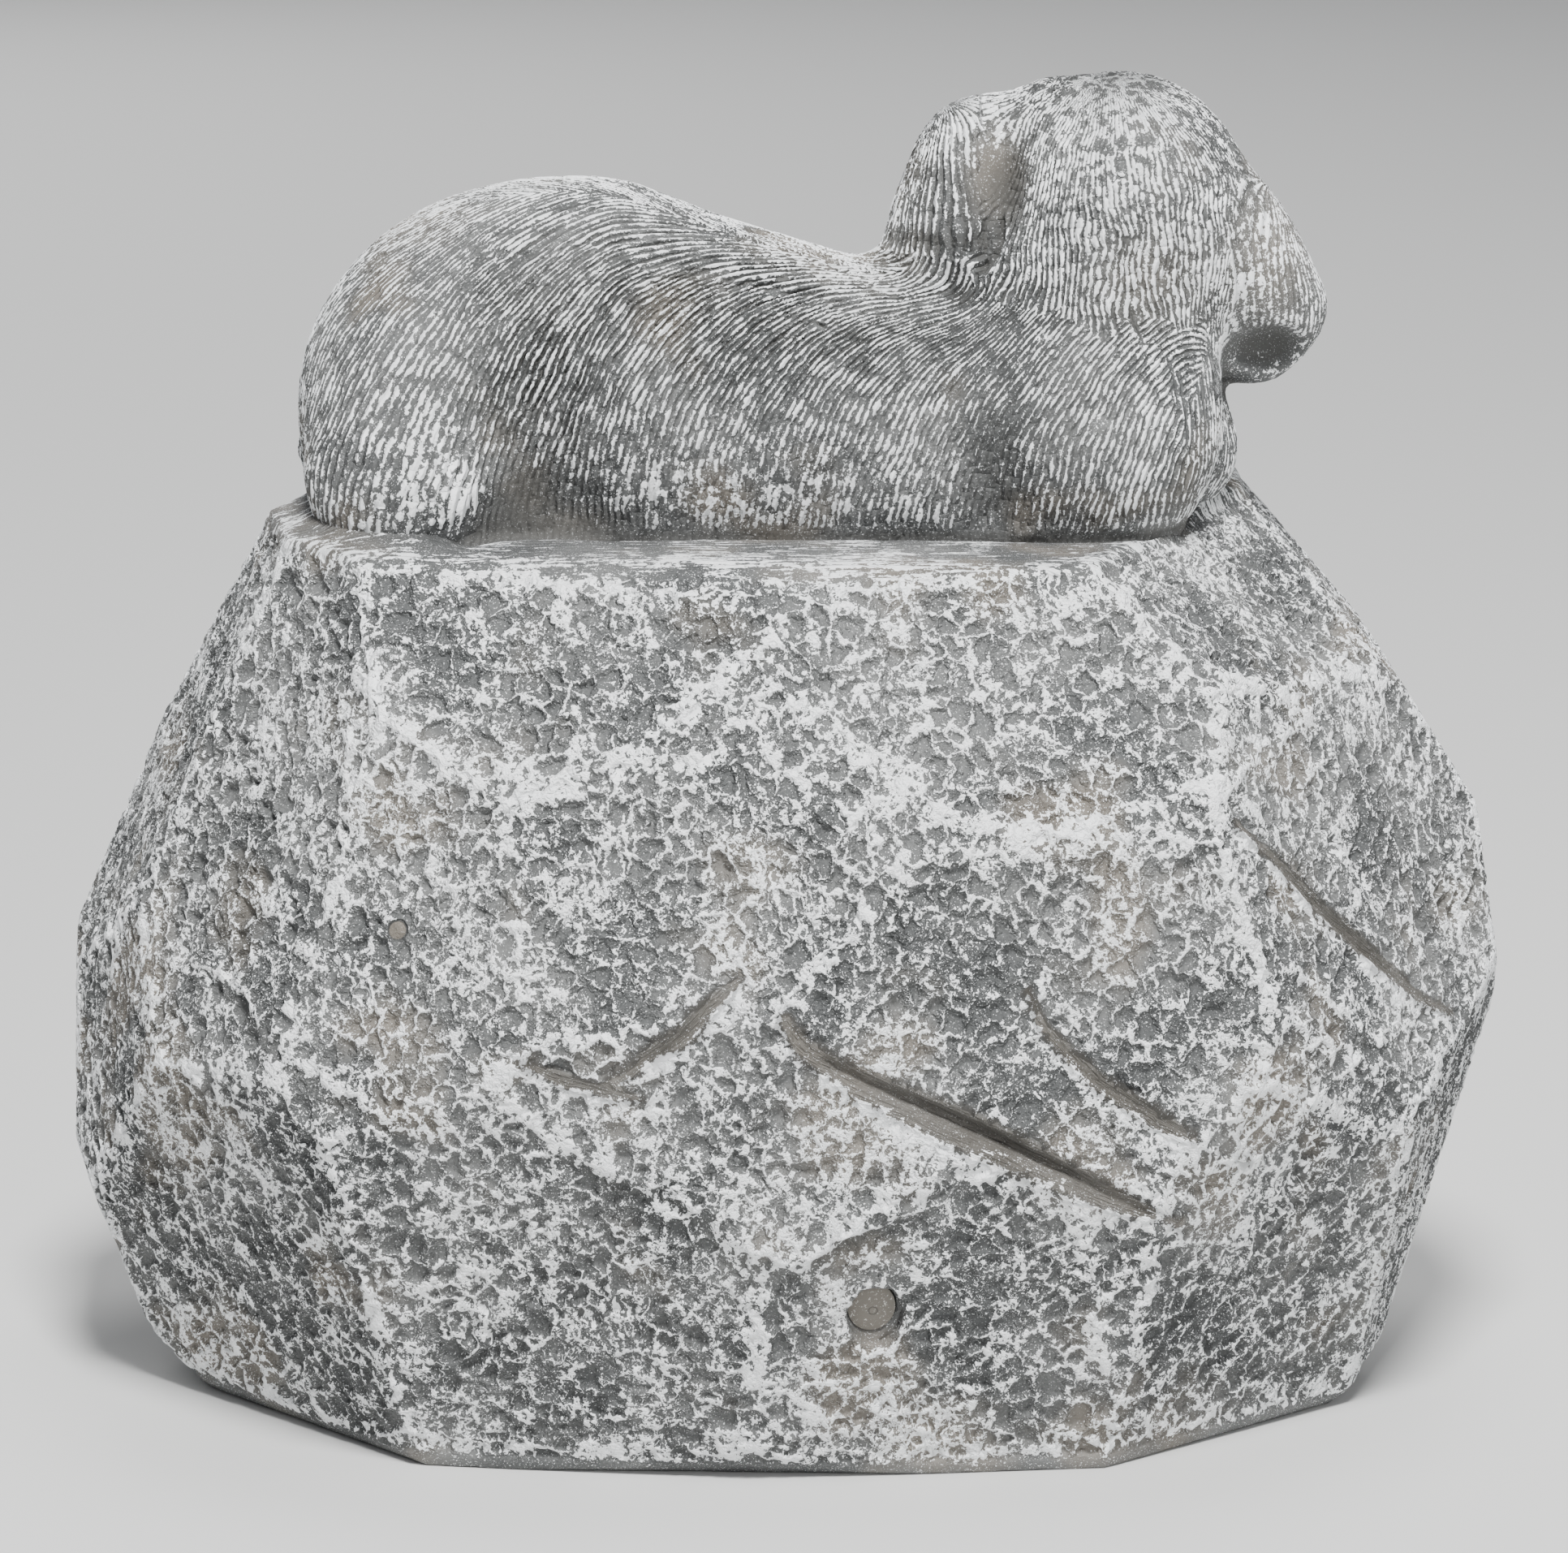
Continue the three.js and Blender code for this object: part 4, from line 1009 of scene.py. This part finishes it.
def boulder_high(tree, layer):
    """What the brush meets on the rock. The bump gets the bare net of pits alone."""
    place = layer("place", "FLOAT_VECTOR")
    crest, net = pecked(tree, place)[1:]
    smooth = layer("calm")
    rough = minus(tree, 1.0, smooth)
    streak = speckle(tree, layer("run", "FLOAT_VECTOR"), 1.3, 3.5, 0.6)
    dragged = between(tree, streak, 0.34, 0.66, 0.05, 1.05, smooth=False)
    swept = layer("brushed")
    blotches = speckle(tree, place, 75, 3.0)
    pooled = between(tree, blotches, 0.35, 0.65, -0.22, 0.14)
    flat = times(tree, plus(tree, dragged, pooled), swept)
    pitted = times(tree, crest, rough)
    plain = times(tree, minus(tree, smooth, swept, clamp=True), 0.35)
    high = plus(tree, plus(tree, pitted, flat), plain)
    off = moved(tree, "LENGTH", moved(tree, "SUBTRACT", place, BUBBLE))
    disc = between(tree, off, 1.45 * MM, 1.6 * MM, 1.0, 0.0)
    off_rim = sums(tree, "ABSOLUTE", minus(tree, off, 1.65 * MM))
    rim = between(tree, off_rim, 0.0, 0.3 * MM, 0.8, 0.0)
    scar = plus(tree, disc, rim, clamp=True)
    high = minus(tree, high, scar)
    standing = plus(tree, times(tree, net, rough), sums(tree, "MULTIPLY_ADD", dragged, swept, plain))
    standing = minus(tree, standing, scar)
    bubble_dark = sums(tree, "MAXIMUM", rim, times(tree, disc, 0.35))
    dark = sums(tree, "MAXIMUM", layer("deep"), bubble_dark)
    stain = sums(tree, "MAXIMUM", layer("stained"), times(tree, disc, 0.6))
    return high, standing, layer("worn"), dark, stain


pecked_stone = stone_material("pecked stone", boulder_high, PIT_BUMP)
carve(boulder, relief_tree("pecked face", pecked_height), PIT_DEPTH, pecked_stone)
thinned(boulder, ROCK_FACETS)
shaded_smooth(boulder)
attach(boulder, "root")
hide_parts("dog_on_boulder")

# Plug
# A round plug of brownish filler, pressed into the hole that the casting was filled through. Its
# face is slightly domed and lies a little below the stone round it.

filler = bpy.data.materials.new("filler")
filler.use_nodes = True
tree = filler.node_tree
shader = tree.nodes["Principled BSDF"]
coords = tree.nodes.new("ShaderNodeTexCoord")
seat_out = moved(tree, "SUBTRACT", coords.outputs["Object"], tuple(PLUG_SEAT))
along = moved(tree, "DOT_PRODUCT", seat_out, tuple(PLUG_OUT))
flat = moved(tree, "SUBTRACT", seat_out, moved(tree, "SCALE", tuple(PLUG_OUT), along))
radius = moved(tree, "LENGTH", flat)
off_ring = sums(tree, "ABSOLUTE", minus(tree, radius, 0.75 * MM))
ring = between(tree, off_ring, 0.0, 0.22 * MM, 1.0, 0.0)
grain = speckle(tree, coords.outputs["Object"], 1500, 5.0, 0.75)
flecks = between(tree, grain, 0.56, 0.68)
paste = tree.nodes.new("ShaderNodeMix")
paste.data_type = "RGBA"
wired(tree, paste.inputs[0], flecks)
paste.inputs[6].default_value = (0.15, 0.138, 0.118, 1)
paste.inputs[7].default_value = (0.62, 0.61, 0.57, 1)
dimmed = tree.nodes.new("ShaderNodeMix")
dimmed.data_type = "RGBA"
wired(tree, dimmed.inputs[0], times(tree, ring, 0.6))
tree.links.new(paste.outputs[2], dimmed.inputs[6])
dimmed.inputs[7].default_value = (0.05, 0.045, 0.04, 1)
tree.links.new(dimmed.outputs[2], shader.inputs["Base Color"])
bump = tree.nodes.new("ShaderNodeBump")
bump.inputs["Strength"].default_value = 0.7
bump.inputs["Distance"].default_value = 0.25 * MM
wired(tree, bump.inputs["Height"], minus(tree, grain, ring))
tree.links.new(bump.outputs["Normal"], shader.inputs["Normal"])
shader.inputs["Roughness"].default_value = 0.75
plug = bpy.data.objects.new("plug", plug_node.data.copy())
plug.data.transform(plug_node.matrix_world)
PLUG_NARROWER, PLUG_SHORTER = 0.19, 0.06
for vert in plug.data.vertices:
    off = vert.co - PLUG_SEAT
    level, steep = off.dot(PLUG_LEVEL), off.dot(PLUG_STEEP)
    vert.co += PLUG_LEVEL * (PLUG_LEVEL_BY - PLUG_NARROWER * level)
    vert.co += PLUG_STEEP * (PLUG_STEEP_BY - PLUG_SHORTER * steep)
bpy.context.scene.collection.objects.link(plug)
plug.data.materials.clear()
plug.data.materials.append(filler)
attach(plug, "root")
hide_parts("filler_plug")

# Studio
# A plain pale floor, soft overhead light with a gentle fill from the front, and the camera where
# the photographer stood.

FLOOR_HALF = 3.0
floor_mesh = bpy.data.meshes.new("floor")
floor_mesh.from_pydata(
    [(-FLOOR_HALF, -FLOOR_HALF, 0), (FLOOR_HALF, -FLOOR_HALF, 0),
     (FLOOR_HALF, FLOOR_HALF, 0), (-FLOOR_HALF, FLOOR_HALF, 0)], [], [(0, 1, 2, 3)])
floor = bpy.data.objects.new("floor", floor_mesh)
bpy.context.scene.collection.objects.link(floor)
floor_paint = bpy.data.materials.new("floor paint")
floor_paint.use_nodes = True
floor_shader = floor_paint.node_tree.nodes["Principled BSDF"]
floor_shader.inputs["Base Color"].default_value = (0.62, 0.62, 0.61, 1)
floor_shader.inputs["Roughness"].default_value = 0.9
floor_mesh.materials.append(floor_paint)

AIM = Vector((0, 0, 0.1))


def soft_light(name, place, size, watts):
    lamp = bpy.data.lights.new(name, "AREA")
    lamp.shape = "DISK"
    lamp.size = size
    lamp.energy = watts
    made = bpy.data.objects.new(name, lamp)
    made.location = place
    made.rotation_euler = (AIM - Vector(place)).to_track_quat("-Z", "Y").to_euler()
    bpy.context.scene.collection.objects.link(made)


soft_light("key", (0.06, -0.78, 1.43), size=0.38, watts=49)
soft_light("overhead", (0.15, 0.25, 1.3), size=0.7, watts=7)
soft_light("far side", (-0.5, 1.5, 0.8), size=1.2, watts=9)
soft_light("fill", (0.75, -1.5, 0.6), size=1.1, watts=13)
world = bpy.data.worlds.new("studio")
world.use_nodes = True
world.node_tree.nodes["Background"].inputs[0].default_value = (0.9, 0.93, 1.0, 1)
world.node_tree.nodes["Background"].inputs[1].default_value = 0.23
bpy.context.scene.world = world

camera_data = bpy.data.cameras.new("camera")
camera_data.lens = 170.5
camera_data.sensor_width = 36
camera_data.clip_start = 0.05
camera_data.clip_end = 20
camera = bpy.data.objects.new("camera", camera_data)
camera.location = (0, -1.2614, 0.4231)
camera.rotation_euler = (math.radians(76), 0, 0)
bpy.context.scene.collection.objects.link(camera)
bpy.context.scene.camera = camera
